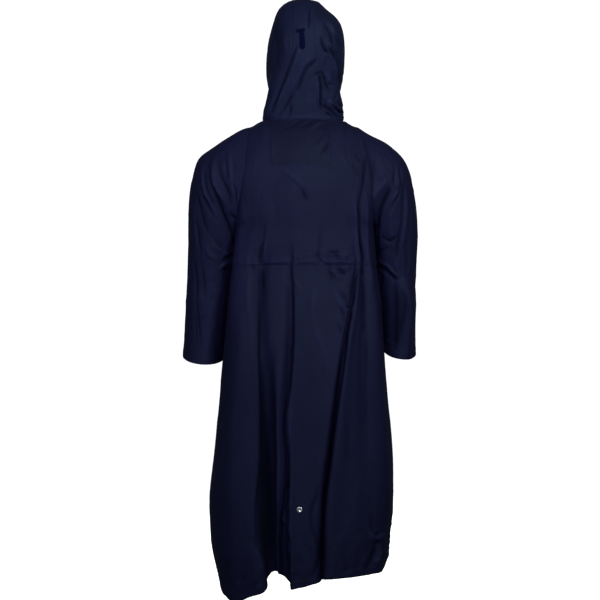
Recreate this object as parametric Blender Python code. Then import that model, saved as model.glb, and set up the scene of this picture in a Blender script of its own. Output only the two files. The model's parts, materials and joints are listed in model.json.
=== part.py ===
"""Hooded rain poncho with short wide sleeves and an elastic waist, hanging as it does when worn.

Metres, +Z up. The wearer faces -Y, and the wearer's left is +X. The origin is the middle of the
neck seam, where the hood joins the body. Every piece of cloth is a wall of its own, cut on a grid of
rows and columns, and pieces that are sewn together share the points of their seam.
"""

import bpy
import numpy as np

# Cloth and how it is put together
WALL = 0.0016  # thickness of the cloth
TRIM = 0.0011  # thickness of the casing, the patch and the tab
GAP = 0.00034  # between two pieces that meet, and under what lies on a panel
MM = 0.001

# Armholes: an upright oval seen from the side, from the armpit up to the shoulder
ARMPIT = -0.283
ARM_TOP = -0.020
ARM_DEPTH = {"back": 0.100, "front": 0.090}
ARMHOLE_ROWS = (0, 0.1, 0.2, 0.3, 0.4, 0.5, 0.565, 0.66, 0.77, 0.87, 0.94, 1)  # share of the way up

# Waist casing and the rows of the skirt below it
CASING_TOP, CASING_FOOT = -0.364, -0.3825
SKIRT_ROWS = (
    *(-0.325, CASING_TOP, CASING_FOOT, -0.42, -0.47, -0.52, -0.575, -0.63, -0.69),
    *(-0.75, -0.81, -0.865, -0.92, -0.975, -1.03, -1.08, -1.13, -1.18),
)
HEM_SWAY = 0.3  # height over which the rows bend to follow the hem

# Neckline and hood: columns from the left shoulder seam, round the back, to the right one
SHOULDER_COLUMNS = 3
SIDE_COLUMNS = 9
CENTRE_COLUMNS = 6
THROAT_COLUMNS = 10
BACK_COLUMNS = 2 * (SHOULDER_COLUMNS + SIDE_COLUMNS) + CENTRE_COLUMNS
SQUARENESS = 2.3  # of the hood's rings: 2 is an ellipse
SECTION = 2.7  # the same for the body's sections

# How one form turns into the next
FOLDS_FROM, FOLDS_FULL = -0.30, -0.38  # heights where the folds begin and have their full depth
COLUMNS_STRAIGHT = -0.13  # above this height the columns follow the neckline, not the folds
NECK_PULL = 0.87  # share of the armhole from which the rows bend to the neckline
YOKE_SWELL = 0.55  # share of the armhole at which the yoke's rows are parabolas

# What is sewn on, in rows and columns of its panel
PATCH_COLUMNS = (8, 20)
PATCH_FOOT = 0.565  # share of the way up the armhole
PATCH_BELOW_SEAM = 0.12
TAB_BAR = (13.26, 15.69)
TAB_BAR_ROWS = (4.01, 4.16)
TAB_TONGUE = (14.2, 15.5)
TAB_TONGUE_ROWS = (2.95, 3, 3.98)
SNAP_X, SNAP_Z = 0.009, -0.998
SNAP_RADIUS, SNAP_HEIGHT, SNAP_LIFT = 0.0075, 0.003, 0.0006

NAVY = (0.012, 0.014, 0.034)
DARK_NAVY = (0.004, 0.004, 0.028)
STEEL = (0.55, 0.56, 0.58)
SHARP = 40  # degrees between two faces that shade as an edge


def table(names, *rows):
    """Columns of numbers by name, from one row for each section."""
    return dict(zip(names.split(), np.array(rows, float).T, strict=True))


# The body's outline: how far it reaches to each side, and its depth at the back and the front.
BODY = table(
    "z left right back front",
    (-0.283, 0.170, -0.186, 0.132, -0.128),
    (-0.377, 0.179, -0.190, 0.134, -0.130),
    (-0.472, 0.192, -0.202, 0.147, -0.142),
    (-0.603, 0.206, -0.209, 0.166, -0.158),
    (-0.734, 0.217, -0.218, 0.178, -0.172),
    (-0.865, 0.231, -0.230, 0.188, -0.186),
    (-0.983, 0.243, -0.234, 0.195, -0.198),
    (-1.074, 0.236, -0.231, 0.199, -0.205),
    (-1.153, 0.217, -0.224, 0.200, -0.208),
    (-1.230, 0.203, -0.216, 0.200, -0.210),
)
# The armhole seams, which lean outwards as they go down.
ARMHOLE = table(
    "z left right",
    (-0.020, 0.1395, -0.1440),
    (-0.073, 0.145, -0.157),
    (-0.140, 0.152, -0.171),
    (-0.197, 0.161, -0.178),
    (-0.283, 0.170, -0.186),
)
# Depth of the body's middle line by the share of the way up the armhole.
MIDDLE = table(
    "share back front",
    (0.0, 0.132, -0.128),
    (0.3, 0.137, -0.141),
    (0.6, 0.132, -0.138),
    (0.8, 0.116, -0.127),
    (0.9, 0.099, -0.117),
    (1.0, 0.075, -0.105),
)
# Folds of the skirt, in millimetres. Each line runs down one column of the panel and is given at
# five heights: x is where it lies and in is how far it lies inside the outline. The last value is
# the height of the hem there.
FOLD_HEIGHTS = (-0.393, -0.547, -0.800, -0.975, -1.165)
FOLD_NAMES = "column x0 x1 x2 x3 x4 in0 in1 in2 in3 in4 hem"
FOLDS = {
    "back": table(
        FOLD_NAMES,
        (0, 180, 200, 224, 242, 216, 0, 0, 0, 0, 0, -1215),
        (3, 142, 151, 166, 173, 161, -4, -8, -12, -12, -10, -1236),
        (5, 117, 116, 109, 118, 97, 1, 3, 4, 2, 2, -1203),
        (6, 106, 105, 102, 107, 90, 6, 12, 34, 36, 44, -1166),
        (7, 90, 90, 87, 86, 80, 3, 8, 42, 48, 52, -1162),
        (8, 69, 67, 70, 67, 71, 3, 6, 8, 16, 34, -1164),
        (9, 48, 45, 57, 57, 62, 3, 8, 14, 30, 44, -1169),
        (10, 35, 31, 46, 47, 48, 6, 16, 34, 44, 48, -1179),
        (11, 27, 24, 40, 38, 37, 1, 4, 24, 30, 30, -1191),
        (12, 18, 18, 34, 33, 31, -2, -3, -4, -6, -8, -1198),
        (15, -43, -38, -17, -2, -2, 0, -2, -4, -6, -6, -1192),
        (19, -110, -92, -52, -31, -24, -2, -3, -6, -6, -4, -1185),
        (20, -128, -104, -66, -45, -37, 0, 0, -2, 2, 6, -1182),
        (21, -137, -112, -75, -53, -46, 5, 18, 30, 30, 28, -1178),
        (22, -145, -120, -83, -62, -55, 0, 0, -2, -3, -4, -1174),
        (25, -150, -158, -162, -163, -165, 10, 12, 8, 3, 0, -1168),
        (27, -167, -182, -197, -201, -196, -3, -6, -6, -6, -4, -1165),
        (30, -191, -206, -224, -233, -222, 0, 0, 0, 0, 0, -1126),
    ),
    "front": table(
        FOLD_NAMES,
        (0, 180, 200, 224, 242, 216, 0, 0, 0, 0, 0, -1215),
        (3, 120, 128, 136, 140, 142, 0, -4, -6, -8, -8, -1184),
        (5, 72, 78, 84, 88, 90, 2, 6, 12, 16, 20, -1174),
        (7, 26, 30, 34, 38, 40, 0, -2, -4, -6, -6, -1168),
        (10, -42, -46, -48, -50, -54, 2, 6, 10, 16, 18, -1160),
        (13, -118, -126, -134, -138, -140, 0, -4, -6, -8, -8, -1154),
        (16, -191, -206, -224, -233, -222, 0, 0, 0, 0, 0, -1126),
    ),
}
# Rings of each sleeve after the armhole: its top and its underside, how deep the ring is and how
# much lower its back half hangs. The right sleeve's x is mirrored.
SLEEVE_NAMES = "top_x top_y top_z under_x under_y under_z depth drop"
SLEEVES = {
    "left": table(
        SLEEVE_NAMES,
        (0.166, 0.000, -0.0290, 0.1730, -0.012, -0.301, 0.098, 0),
        (0.206, -0.002, -0.0510, 0.1735, -0.026, -0.317, 0.100, 0),
        (0.248, -0.006, -0.079, 0.1735, -0.038, -0.334, 0.100, 0),
        (0.273, -0.010, -0.102, 0.1745, -0.046, -0.352, 0.098, 0),
        (0.287, -0.014, -0.139, 0.1770, -0.050, -0.372, 0.095, 0),
        (0.296, -0.020, -0.184, 0.1795, -0.054, -0.394, 0.091, 0),
        (0.300, -0.028, -0.240, 0.1830, -0.057, -0.420, 0.086, 0),
        (0.301, -0.036, -0.306, 0.1870, -0.060, -0.450, 0.081, 0.002),
        (0.303, -0.044, -0.376, 0.1920, -0.062, -0.486, 0.077, 0.004),
        (0.308, -0.050, -0.448, 0.1980, -0.063, -0.526, 0.074, 0.008),
        (0.314, -0.055, -0.526, 0.2030, -0.064, -0.572, 0.071, 0.013),
        (0.318, -0.058, -0.619, 0.2070, -0.064, -0.625, 0.070, 0.019),
    ),
    "right": table(
        SLEEVE_NAMES,
        (0.174, 0.000, -0.041, 0.1890, -0.012, -0.300, 0.098, 0),
        (0.214, -0.002, -0.061, 0.1890, -0.026, -0.315, 0.100, 0),
        (0.254, -0.006, -0.0925, 0.1875, -0.038, -0.332, 0.100, 0),
        (0.2715, -0.010, -0.121, 0.1875, -0.046, -0.350, 0.098, 0),
        (0.2835, -0.014, -0.158, 0.1880, -0.050, -0.370, 0.095, 0),
        (0.2930, -0.020, -0.198, 0.1890, -0.054, -0.392, 0.091, 0),
        (0.2995, -0.028, -0.244, 0.1920, -0.057, -0.418, 0.086, 0),
        (0.303, -0.036, -0.305, 0.1960, -0.060, -0.448, 0.081, 0.002),
        (0.3005, -0.044, -0.373, 0.2000, -0.062, -0.482, 0.077, 0.006),
        (0.297, -0.050, -0.441, 0.2030, -0.063, -0.518, 0.074, 0.012),
        (0.295, -0.055, -0.522, 0.2050, -0.064, -0.552, 0.071, 0.018),
        (0.2985, -0.058, -0.610, 0.2070, -0.064, -0.590, 0.070, 0.026),
    ),
}
# Rings of the hood from the neck seam to the face opening: the back or top of the ring, its throat
# side, its half width, and the angles of the centre panel's two seams.
HOOD = table(
    "back_y back_z throat_y throat_z half left_seam right_seam",
    (0.075, -0.005, -0.105, -0.020, 0.1055, 18, -26.5),
    (0.086, 0.050, -0.103, -0.010, 0.1030, 19, -27),
    (0.100, 0.110, -0.105, 0.001, 0.0965, 20, -25),
    (0.110, 0.174, -0.110, 0.008, 0.0910, 21, -13),
    (0.108, 0.215, -0.114, 0.012, 0.0955, 20, -9),
    (0.086, 0.268, -0.117, 0.014, 0.1005, 18, -8.5),
    (0.036, 0.306, -0.120, 0.016, 0.1030, 17, -9),
    (-0.035, 0.320, -0.122, 0.018, 0.1030, 16, -10),
    (-0.122, 0.297, -0.124, 0.020, 0.0970, 16, -14),
)
# The hood leans a little to the wearer's right.
HOOD_LEAN = table(
    "z shift",
    (0.00, 0.0),
    (0.04, -0.0035),
    (0.10, -0.0040),
    (0.155, -0.0070),
    (0.235, -0.0104),
    (0.262, -0.0090),
    (0.290, -0.0040),
    (0.320, -0.0020),
)


def curve(x, xs, ys):
    """A smooth curve through the points (xs, ys) that never overshoots them, read at x."""
    if xs[0] > xs[-1]:
        xs, ys = xs[::-1], ys[::-1]
    step = np.diff(xs)
    slope = np.diff(ys) / step
    product, total = slope[1:] * slope[:-1], slope[1:] + slope[:-1]
    inner = np.divide(2 * product, total, out=np.zeros(len(total)), where=product > 0)
    tangent = np.concatenate([slope[:1], inner, slope[-1:]])
    x = np.clip(x, xs[0], xs[-1])
    i = np.clip(np.searchsorted(xs, x, side="right") - 1, 0, len(step) - 1)
    u = (x - xs[i]) / step[i]
    ends = ys[i] * (1 + 2 * u) * (1 - u) ** 2 + ys[i + 1] * (3 - 2 * u) * u**2
    return ends + step[i] * u * (1 - u) * (tangent[i] * (1 - u) - tangent[i + 1] * u)


def ease(x):
    """0 below 0, 1 above 1, and smooth between."""
    x = np.clip(x, 0, 1)
    return x * x * (3 - 2 * x)


# Hood and neckline


def hood_angles(ring):
    """Angles of the hood's columns, from the left shoulder seam round the back and the throat."""
    left, right = HOOD["left_seam"][ring], HOOD["right_seam"][ring]
    stops = (90, left, right, -90, -270)
    counts = (SIDE_COLUMNS, CENTRE_COLUMNS, SIDE_COLUMNS, THROAT_COLUMNS)
    runs = [
        np.linspace(a, b, n, endpoint=False)
        for a, b, n in zip(stops, stops[1:], counts, strict=False)
    ]
    return np.radians(np.concatenate([*runs, [-270]]))


def rounded(value):
    return np.sign(value) * np.abs(value) ** (2 / SQUARENESS)


def hood_ring(ring):
    """Points of one ring of the hood, in the order of hood_angles."""
    row = {name: values[ring] for name, values in HOOD.items()}
    angle = hood_angles(ring)
    share = (1 + rounded(np.cos(angle))) / 2
    y = row["throat_y"] + share * (row["back_y"] - row["throat_y"])
    z = row["throat_z"] + share * (row["back_z"] - row["throat_z"])
    lean = curve(z, HOOD_LEAN["z"], HOOD_LEAN["shift"])
    return np.stack([row["half"] * rounded(np.sin(angle)) + lean, y, z], axis=-1)


def neckline(side):
    """Points of the neck seam on one body panel, from left to right."""
    ring = hood_ring(0)
    last = BACK_COLUMNS - 2 * SHOULDER_COLUMNS
    return ring[: last + 1] if side == "back" else ring[last:][::-1]


# Body


def top_edge(side):
    """The top of a body panel: a shoulder seam, the neckline and the other shoulder seam."""
    neck = neckline(side)
    share = np.linspace(0, 1, SHOULDER_COLUMNS, endpoint=False)[:, None]
    left, right = (np.array((ARMHOLE[s][0], 0, ARM_TOP)) for s in ("left", "right"))
    return np.concatenate(
        [
            left + share * (neck[0] - left),
            neck,
            (right + share * (neck[-1] - right))[::-1],
        ]
    )


def yoke_form(side, share, across):
    """Points of a row above the armpit before it bends to the neckline, by their share across."""
    angle = np.pi * (share - 0.5)
    edge_y = ARM_DEPTH[side] * np.cos(angle) * (1 if side == "back" else -1)
    edge_z = (ARM_TOP + ARMPIT) / 2 + (ARM_TOP - ARMPIT) / 2 * np.sin(angle)
    neck = neckline(side)
    middle_y = curve(share, MIDDLE["share"], MIDDLE[side])
    middle_z = ARMPIT + share * (neck[len(neck) // 2][2] - ARMPIT)
    swell = ease(share / YOKE_SWELL)
    bow = (1 - np.abs(across) ** SECTION) ** (1 / SECTION + (1 - 1 / SECTION) * swell)
    return edge_y + (middle_y - edge_y) * bow, edge_z + (middle_z - edge_z) * bow


def edges(share, height):
    """Where a row of the body ends at its left and its right."""
    if share > 0 or height >= ARMPIT:
        z = (ARM_TOP + ARMPIT) / 2 + (ARM_TOP - ARMPIT) / 2 * np.sin(np.pi * (share - 0.5))
        return [curve(z, ARMHOLE["z"], ARMHOLE[name]) for name in ("left", "right")]
    return [curve(height, BODY["z"], BODY[name]) for name in ("left", "right")]


def columns_at(side, share, height):
    """x of every column in one row: below the waist along the folds, near the neck straight up."""
    left, right = edges(share, height)
    middle, half = (left + right) / 2, (left - right) / 2
    folds = FOLDS[side]
    lines = np.array(
        [
            curve(height, FOLD_HEIGHTS, MM * np.array([folds[f"x{i}"][line] for i in range(5)]))
            for line in range(len(folds["column"]))
        ]
    )
    turn = np.arccos(np.clip(2 * (lines - lines[-1]) / (lines[0] - lines[-1]) - 1, -1, 1))
    column = np.arange(folds["column"][-1] + 1)
    low = middle + half * np.cos(np.interp(column, folds["column"], turn))
    top = top_edge(side)[:, 0]
    reach = (2 * top - top[0] - top[-1]) / (top[0] - top[-1])
    outward = np.where(reach > 0, left - top[0], right - top[-1])
    high = top + outward * reach**4
    depth = height if share == 0 else ARMPIT + share * (ARM_TOP - ARMPIT)
    blend = ease((depth - COLUMNS_STRAIGHT) / (CASING_TOP - COLUMNS_STRAIGHT))
    x = low * blend + high * (1 - blend)
    return x, np.clip((x - middle) / half, -1, 1)


def yoke_row(side, share):
    """A row between the armpit and the shoulder seams."""
    x, across = columns_at(side, share, ARMPIT)
    y, z = yoke_form(side, share, across)
    top = top_edge(side)
    top_across = np.clip(columns_at(side, 1, ARMPIT)[1], -1, 1)
    top_y, top_z = yoke_form(side, 1, top_across)
    pull = ease((share - NECK_PULL) / (1 - NECK_PULL))
    return np.stack([x, y + pull * (top[:, 1] - top_y), z + pull * (top[:, 2] - top_z)], axis=-1)


def skirt_row(side, height):
    """A row below the armpit, with the skirt's folds."""
    x, across = columns_at(side, 0, height)
    y = curve(height, BODY["z"], BODY[side]) * (1 - np.abs(across) ** SECTION) ** (1 / SECTION)
    folds = FOLDS[side]
    insets = [
        curve(height, FOLD_HEIGHTS, MM * np.array([folds[f"in{i}"][line] for i in range(5)]))
        for line in range(len(folds["column"]))
    ]
    column = np.arange(len(x))
    inset = np.interp(column, folds["column"], insets)
    inset *= ease((height - FOLDS_FROM) / (FOLDS_FULL - FOLDS_FROM))
    outward = np.stack([-np.gradient(y), np.gradient(x)], axis=-1)
    outward *= np.sign(y.sum()) * np.sign(outward[len(x) // 2, 1])
    outward /= np.linalg.norm(outward, axis=-1, keepdims=True)
    last = SKIRT_ROWS[-1]
    hem = MM * np.interp(column, folds["column"], folds["hem"])
    sway = ease((last + HEM_SWAY - height) / HEM_SWAY)
    z = height + (hem - last) * sway
    x, y = x - inset * outward[:, 0], y - inset * outward[:, 1]
    return np.stack([x, y, z], axis=-1)


def body_panel(side):
    """Grid of a body panel's outer side: rows from the hem up, columns from left to right."""
    low = [skirt_row(side, height) for height in SKIRT_ROWS[::-1]]
    high = [yoke_row(side, share) for share in ARMHOLE_ROWS]
    return np.array(low + high)


def sleeve(side, back, front):
    """Grid of a sleeve's outer side: rings from the armhole out, the first one from the panels."""
    column = 0 if side == "left" else -1
    up = back[-len(ARMHOLE_ROWS) :, column]
    down = front[-len(ARMHOLE_ROWS) :, column][::-1]
    rings = [np.concatenate([up, down[1:-1]])]
    shares = np.array(ARMHOLE_ROWS)
    angle = np.pi * (np.concatenate([shares, 2 - shares[::-1][1:-1]]) - 0.5)
    sign = 1 if side == "left" else -1
    rows = SLEEVES[side]
    for i in range(len(rows["depth"])):
        row = {name: values[i] for name, values in rows.items()}
        top = np.array((sign * row["top_x"], row["top_y"], row["top_z"]))
        under = np.array((sign * row["under_x"], row["under_y"], row["under_z"]))
        ring = (top + under) / 2 + np.outer(np.sin(angle), (top - under) / 2)
        ring[:, 1] += row["depth"] * np.cos(angle)
        ring[:, 2] -= row["drop"] * np.maximum(np.cos(angle), 0)
        rings.append(ring)
    return np.array(rings)


def hood_panels():
    """Grids of the hood's three panels, rings from the neck seam to the face opening."""
    rings = np.array([hood_ring(ring) for ring in range(len(HOOD["half"]))])
    left, right = SIDE_COLUMNS, SIDE_COLUMNS + CENTRE_COLUMNS
    chin = 2 * SIDE_COLUMNS + CENTRE_COLUMNS + THROAT_COLUMNS // 2
    return {
        "hood_left": np.concatenate([rings[:, chin:], rings[:, 1 : left + 1]], axis=1),
        "hood_centre": rings[:, left : right + 1],
        "hood_right": rings[:, right : chin + 1],
    }


# From grids to walls


def triangles_of(rows, columns, closed):
    """Two triangles for each cell of a grid, as indices into its points."""
    index = np.arange(rows * columns).reshape(rows, columns)
    if closed:
        index = np.concatenate([index, index[:, :1]], axis=1)
    a, b, c, d = index[:-1, :-1], index[:-1, 1:], index[1:, 1:], index[1:, :-1]
    return np.concatenate([np.stack(t, axis=-1).reshape(-1, 3) for t in ((a, b, c), (a, c, d))])


def steps_inwards(grid, closed):
    """At each border point the unit step into the piece, at right angles to the border, else 0."""
    steps = np.zeros_like(grid)
    for turned in (False,) if closed else (False, True):
        lines, result = (grid.swapaxes(0, 1), steps.swapaxes(0, 1)) if turned else (grid, steps)
        for border, inner in ((0, 1), (-1, -2)):
            line = lines[border]
            if closed:
                seam = np.roll(line, -1, axis=0) - np.roll(line, 1, axis=0)
            else:
                seam = np.gradient(line, axis=0)
            seam /= np.linalg.norm(seam, axis=-1, keepdims=True)
            step = lines[inner] - line
            step -= (step * seam).sum(axis=-1, keepdims=True) * seam
            result[border] += step / np.linalg.norm(step, axis=-1, keepdims=True)
    return steps


def wall_normals(grids, closed):
    """A normal at each point of each grid. Pieces that meet in a ridge share one there.

    The hood shares none with the body, because the neck seam is a crease all the way round.
    """
    own = {}
    shared = {}
    keys = {}
    for name, grid in grids.items():
        points = grid.reshape(-1, 3)
        faces = triangles_of(*grid.shape[:2], name in closed)
        corners = points[faces]
        normals = np.cross(corners[:, 1] - corners[:, 0], corners[:, 2] - corners[:, 0])
        own[name] = np.zeros_like(points)
        for corner in range(3):
            np.add.at(own[name], faces[:, corner], normals)
        keys[name] = [(name.startswith("hood"), *point) for point in np.round(points, 6)]
        for key, normal in zip(keys[name], own[name], strict=True):
            shared[key] = shared.get(key, 0) + normal
    result = {}
    for name, grid in grids.items():
        total = np.array([shared[key] for key in keys[name]])
        steps = steps_inwards(grid, name in closed).reshape(-1, 3)
        ridge = ((total - own[name]) * steps).sum(axis=-1) <= 0
        normals = np.where(ridge[:, None], total, own[name])
        normals /= np.linalg.norm(normals, axis=-1, keepdims=True)
        result[name] = normals.reshape(grid.shape)
    return result


def material(name, colour, roughness, metallic):
    found = bpy.data.materials.get(name) or bpy.data.materials.new(name)
    found.use_nodes = True
    shader = found.node_tree.nodes["Principled BSDF"]
    shader.inputs["Base Color"].default_value = (*colour, 1)
    shader.inputs["Roughness"].default_value = roughness
    shader.inputs["Metallic"].default_value = metallic
    return found


def cloth():
    return material("rain cloth", NAVY, 0.45, 0)


def strap():
    return material("hook tape", DARK_NAVY, 0.8, 0)


def add_object(name, points, faces, look):
    mesh = bpy.data.meshes.new(name)
    mesh.from_pydata(np.asarray(points).tolist(), [], np.asarray(faces).tolist())
    mesh.shade_smooth()
    mesh.set_sharp_from_angle(angle=np.radians(SHARP))
    mesh.materials.append(look)
    piece = bpy.data.objects.new(name, mesh)
    bpy.context.scene.collection.objects.link(piece)
    return piece


def wall(name, outer, inner, look, closed=False):
    """A closed piece of cloth between two grids of the same size."""
    rows, columns = outer.shape[:2]
    count = rows * columns
    faces = triangles_of(rows, columns, closed)
    index = np.arange(count).reshape(rows, columns)
    if closed:
        rims = [np.append(index[0], index[0, 0]), np.append(index[-1], index[-1, 0])[::-1]]
    else:
        rims = [index[0], index[:, -1], index[-1, ::-1], index[::-1, 0]]
    sides = []
    for rim in rims:
        a, b = rim[:-1], rim[1:]
        sides += [np.stack([b, a, a + count], axis=-1), np.stack([b, a + count, b + count], axis=-1)]
    points = np.concatenate([outer.reshape(-1, 3), inner.reshape(-1, 3)])
    return add_object(name, points, np.concatenate([faces, faces[:, ::-1] + count, *sides]), look)


def read_grid(grid, rows, columns):
    """Points of a grid at any rows and columns, along the straight lines between its own."""
    rows, columns = np.asarray(rows, float), np.asarray(columns, float)
    i = np.minimum(rows.astype(int), grid.shape[0] - 2)
    j = np.minimum(columns.astype(int), grid.shape[1] - 2)
    u, v = (rows - i)[:, None, None], (columns - j)[None, :, None]
    corner = [[grid[np.ix_(i + a, j + b)] for b in (0, 1)] for a in (0, 1)]
    lower = corner[0][0] * (1 - v) + corner[0][1] * v
    upper = corner[1][0] * (1 - v) + corner[1][1] * v
    return lower * (1 - u) + upper * u


def sewn_on(name, grid, normals, rows, columns, look):
    """A flat piece that lies on a panel, made from the panel's own points."""
    points, out = read_grid(grid, rows, columns), read_grid(normals, rows, columns)
    out /= np.linalg.norm(out, axis=-1, keepdims=True)
    return wall(name, points + (GAP + TRIM) * out, points + GAP * out, look)


def build_cloth():
    """Makes the panels, and returns their grids and normals for what is sewn on."""
    back, front = body_panel("back"), body_panel("front")
    closed = {"sleeve_left", "sleeve_right"}
    grids = {
        "back": back,
        "front": front[:, ::-1],
        "sleeve_left": sleeve("left", back, front),
        "sleeve_right": sleeve("right", back, front)[::-1],
        **hood_panels(),
    }
    normals = wall_normals(grids, closed)
    for name, grid in grids.items():
        grids[name] = grid + GAP / 2 * steps_inwards(grid, name in closed)
        inner = grids[name] - WALL * normals[name]
        wall(name, grids[name], inner, cloth(), name in closed)
    return grids, normals


def build_casing(back, normals):
    row = len(SKIRT_ROWS) - 1 - SKIRT_ROWS.index(CASING_FOOT)
    sewn_on("waist_casing", back, normals, [row, row + 1], range(BACK_COLUMNS + 1), cloth())


def build_patch(back, normals):
    foot = len(SKIRT_ROWS) + ARMHOLE_ROWS.index(PATCH_FOOT)
    last = back.shape[0] - 1
    rows = [*range(foot, last), last - PATCH_BELOW_SEAM]
    first, end = PATCH_COLUMNS
    sewn_on("neck_patch", back, normals, rows, range(first, end + 1), cloth())


def build_tab(centre, normals):
    """A short hook tape and the bar that it hangs from, on the hood's centre panel."""
    first = SHOULDER_COLUMNS + SIDE_COLUMNS

    def lines(span):
        start, end = (value - first for value in span)
        return [start, *range(int(start) + 1, int(np.ceil(end))), end]

    sewn_on("hood_tab_keeper", centre, normals, TAB_BAR_ROWS, lines(TAB_BAR), strap())
    sewn_on("hood_tab", centre, normals, TAB_TONGUE_ROWS, lines(TAB_TONGUE), strap())


def build_snap(back, normals):
    """The round cap of a snap fastener, which stands along the panel's normal."""
    distance = np.hypot(back[..., 0] - SNAP_X, back[..., 2] - SNAP_Z)
    row, column = np.unravel_index(distance.argmin(), distance.shape)
    corner, out = back[row, column], normals[row, column]
    foot = corner + (np.array((SNAP_X, 0, SNAP_Z)) - corner) * (1, 0, 1)
    foot[1] -= ((foot - corner) @ out) / out[1]
    side = np.cross((0, 0, 1), out)
    side /= np.linalg.norm(side)
    up = np.cross(out, side)
    angle = np.linspace(0, 2 * np.pi, 20, endpoint=False)[:, None]
    circle = np.cos(angle) * side + np.sin(angle) * up
    levels = ((1, 0), (1, 0.5), (0.85, 0.85), (0.5, 1))
    rings = np.array(
        [
            foot + SNAP_RADIUS * size * circle + (SNAP_LIFT + SNAP_HEIGHT * height) * out
            for size, height in levels
        ]
    )
    faces = triangles_of(*rings.shape[:2], True).tolist()
    count = len(circle)
    faces.append(list(range(count))[::-1])
    faces.append(list(range(len(levels) * count - count, len(levels) * count)))
    mesh = bpy.data.meshes.new("snap_cap")
    mesh.from_pydata(rings.reshape(-1, 3).tolist(), [], faces)
    mesh.materials.append(material("steel", STEEL, 0.3, 1))
    bpy.context.scene.collection.objects.link(bpy.data.objects.new("snap_cap", mesh))


def main():
    for old in list(bpy.data.objects):
        bpy.data.objects.remove(old)
    grids, normals = build_cloth()
    build_casing(grids["back"], normals["back"])
    build_patch(grids["back"], normals["back"])
    build_tab(grids["hood_centre"], normals["hood_centre"])
    build_snap(grids["back"], normals["back"])


main()
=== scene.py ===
"""Rain poncho: the cloth, seams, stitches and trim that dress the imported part.

Metres, +Z up, and the wearer faces -Y. Each panel of cloth is a thin shell on the form of its own
solid. The solid's outer side is read as a grid of rows and columns, a smooth surface is laid
through it, and creases, gathers, seams and hems are laid on that surface. What is sewn on a panel
is cut from the same surface, so it follows every crease. Tables of creases are in millimetres.
"""

import json
import math

import bmesh
import bpy
import numpy as np
from bpy.props import FloatProperty, FloatVectorProperty, IntProperty, PointerProperty
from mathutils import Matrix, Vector

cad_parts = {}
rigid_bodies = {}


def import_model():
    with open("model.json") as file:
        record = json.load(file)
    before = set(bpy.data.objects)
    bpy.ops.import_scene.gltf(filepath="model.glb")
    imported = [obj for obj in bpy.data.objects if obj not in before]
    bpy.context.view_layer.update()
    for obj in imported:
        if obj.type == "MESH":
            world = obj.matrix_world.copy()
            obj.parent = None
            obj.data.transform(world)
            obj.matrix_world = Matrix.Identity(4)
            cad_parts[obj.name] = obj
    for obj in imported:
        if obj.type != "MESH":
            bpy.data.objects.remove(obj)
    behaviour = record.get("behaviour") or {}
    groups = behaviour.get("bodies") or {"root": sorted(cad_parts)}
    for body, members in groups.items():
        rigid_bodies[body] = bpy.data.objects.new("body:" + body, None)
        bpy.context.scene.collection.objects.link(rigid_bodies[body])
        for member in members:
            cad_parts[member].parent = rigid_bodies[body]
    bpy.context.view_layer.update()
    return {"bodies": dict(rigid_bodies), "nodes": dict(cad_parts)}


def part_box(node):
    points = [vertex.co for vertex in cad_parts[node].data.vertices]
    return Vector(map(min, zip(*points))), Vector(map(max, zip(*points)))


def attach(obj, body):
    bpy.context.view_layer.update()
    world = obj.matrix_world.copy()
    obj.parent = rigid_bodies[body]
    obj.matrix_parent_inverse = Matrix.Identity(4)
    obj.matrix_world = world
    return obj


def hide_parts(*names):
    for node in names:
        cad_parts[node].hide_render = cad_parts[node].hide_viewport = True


bl_info = {
    "name": "Rain poncho",
    "version": (1, 0, 0),
    "blender": (4, 5, 0),
    "location": "3D View > Sidebar > Poncho",
    "description": "Dresses the packed rain poncho with cloth, seams, stitches and trim",
    "category": "Object",
}

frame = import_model()
NODES = frame["nodes"]
BODY = next(iter(frame["bodies"]))
WEAVE_MAP, FOLD_MAP = "weave", "fold_height"
MM = 0.001
# How thick the solids of the panels are, and those of what is sewn on them.
WALL, TRIM_WALL = 1.6 * MM, 1.1 * MM

# Panels: what lies along the first and last row and the first and last column of each grid.
HEM, SEAM, RING = "hem", "seam", "ring"
PANELS = {
    "back": (HEM, SEAM, SEAM, SEAM),
    "front": (HEM, SEAM, SEAM, SEAM),
    "sleeve_left": (SEAM, HEM, RING, RING),
    "sleeve_right": (SEAM, HEM, RING, RING),
    "hood_left": (SEAM, HEM, SEAM, SEAM),
    "hood_right": (SEAM, HEM, SEAM, SEAM),
    "hood_centre": (SEAM, HEM, SEAM, SEAM),
}
# Distance between the rows and between the columns of each shell, in millimetres.
STEPS = {
    "back": (5.2, 3.1),
    "front": (9.0, 5.0),
    "sleeve_left": (3.3, 2.15),
    "sleeve_right": (3.2, 2.1),
    "hood_left": (2.4, 2.2),
    "hood_right": (2.4, 2.2),
    "hood_centre": (2.2, 1.8),
}
# Where rows stand closer together: the height, how far it spreads and how much closer.
CLOSER_ROWS = {"back": ((-376, 34, 2.4), (-1130, 90, 0.7), (-60, 60, 0.4))}
# A finer band along each border: its width, its steps, and how far a seam is tucked under.
BAND, BAND_STEP, TUCK = 11 * MM, 1.4 * MM, 0.8 * MM
# Stitch rows: how far each runs from a border, 0 to 3 for first and last row and column.
STITCHED = {
    "back": {0: 16, 1: 6, 2: 6, 3: 6},
    "front": {0: 16},
    "sleeve_left": {0: 6, 1: 17},
    "sleeve_right": {0: 6, 1: 17},
    "hood_left": {1: 17},
    "hood_right": {1: 17},
    "hood_centre": {1: 17, 2: 5, 3: 5},
}

# How far a seam keeps the cloth calm, and the widths of its doubled cloth and of a hem.
SEAM_CALM, SEAM_ALLOWANCE, HEM_WIDTH = 14 * MM, 8 * MM, 18 * MM
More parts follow.
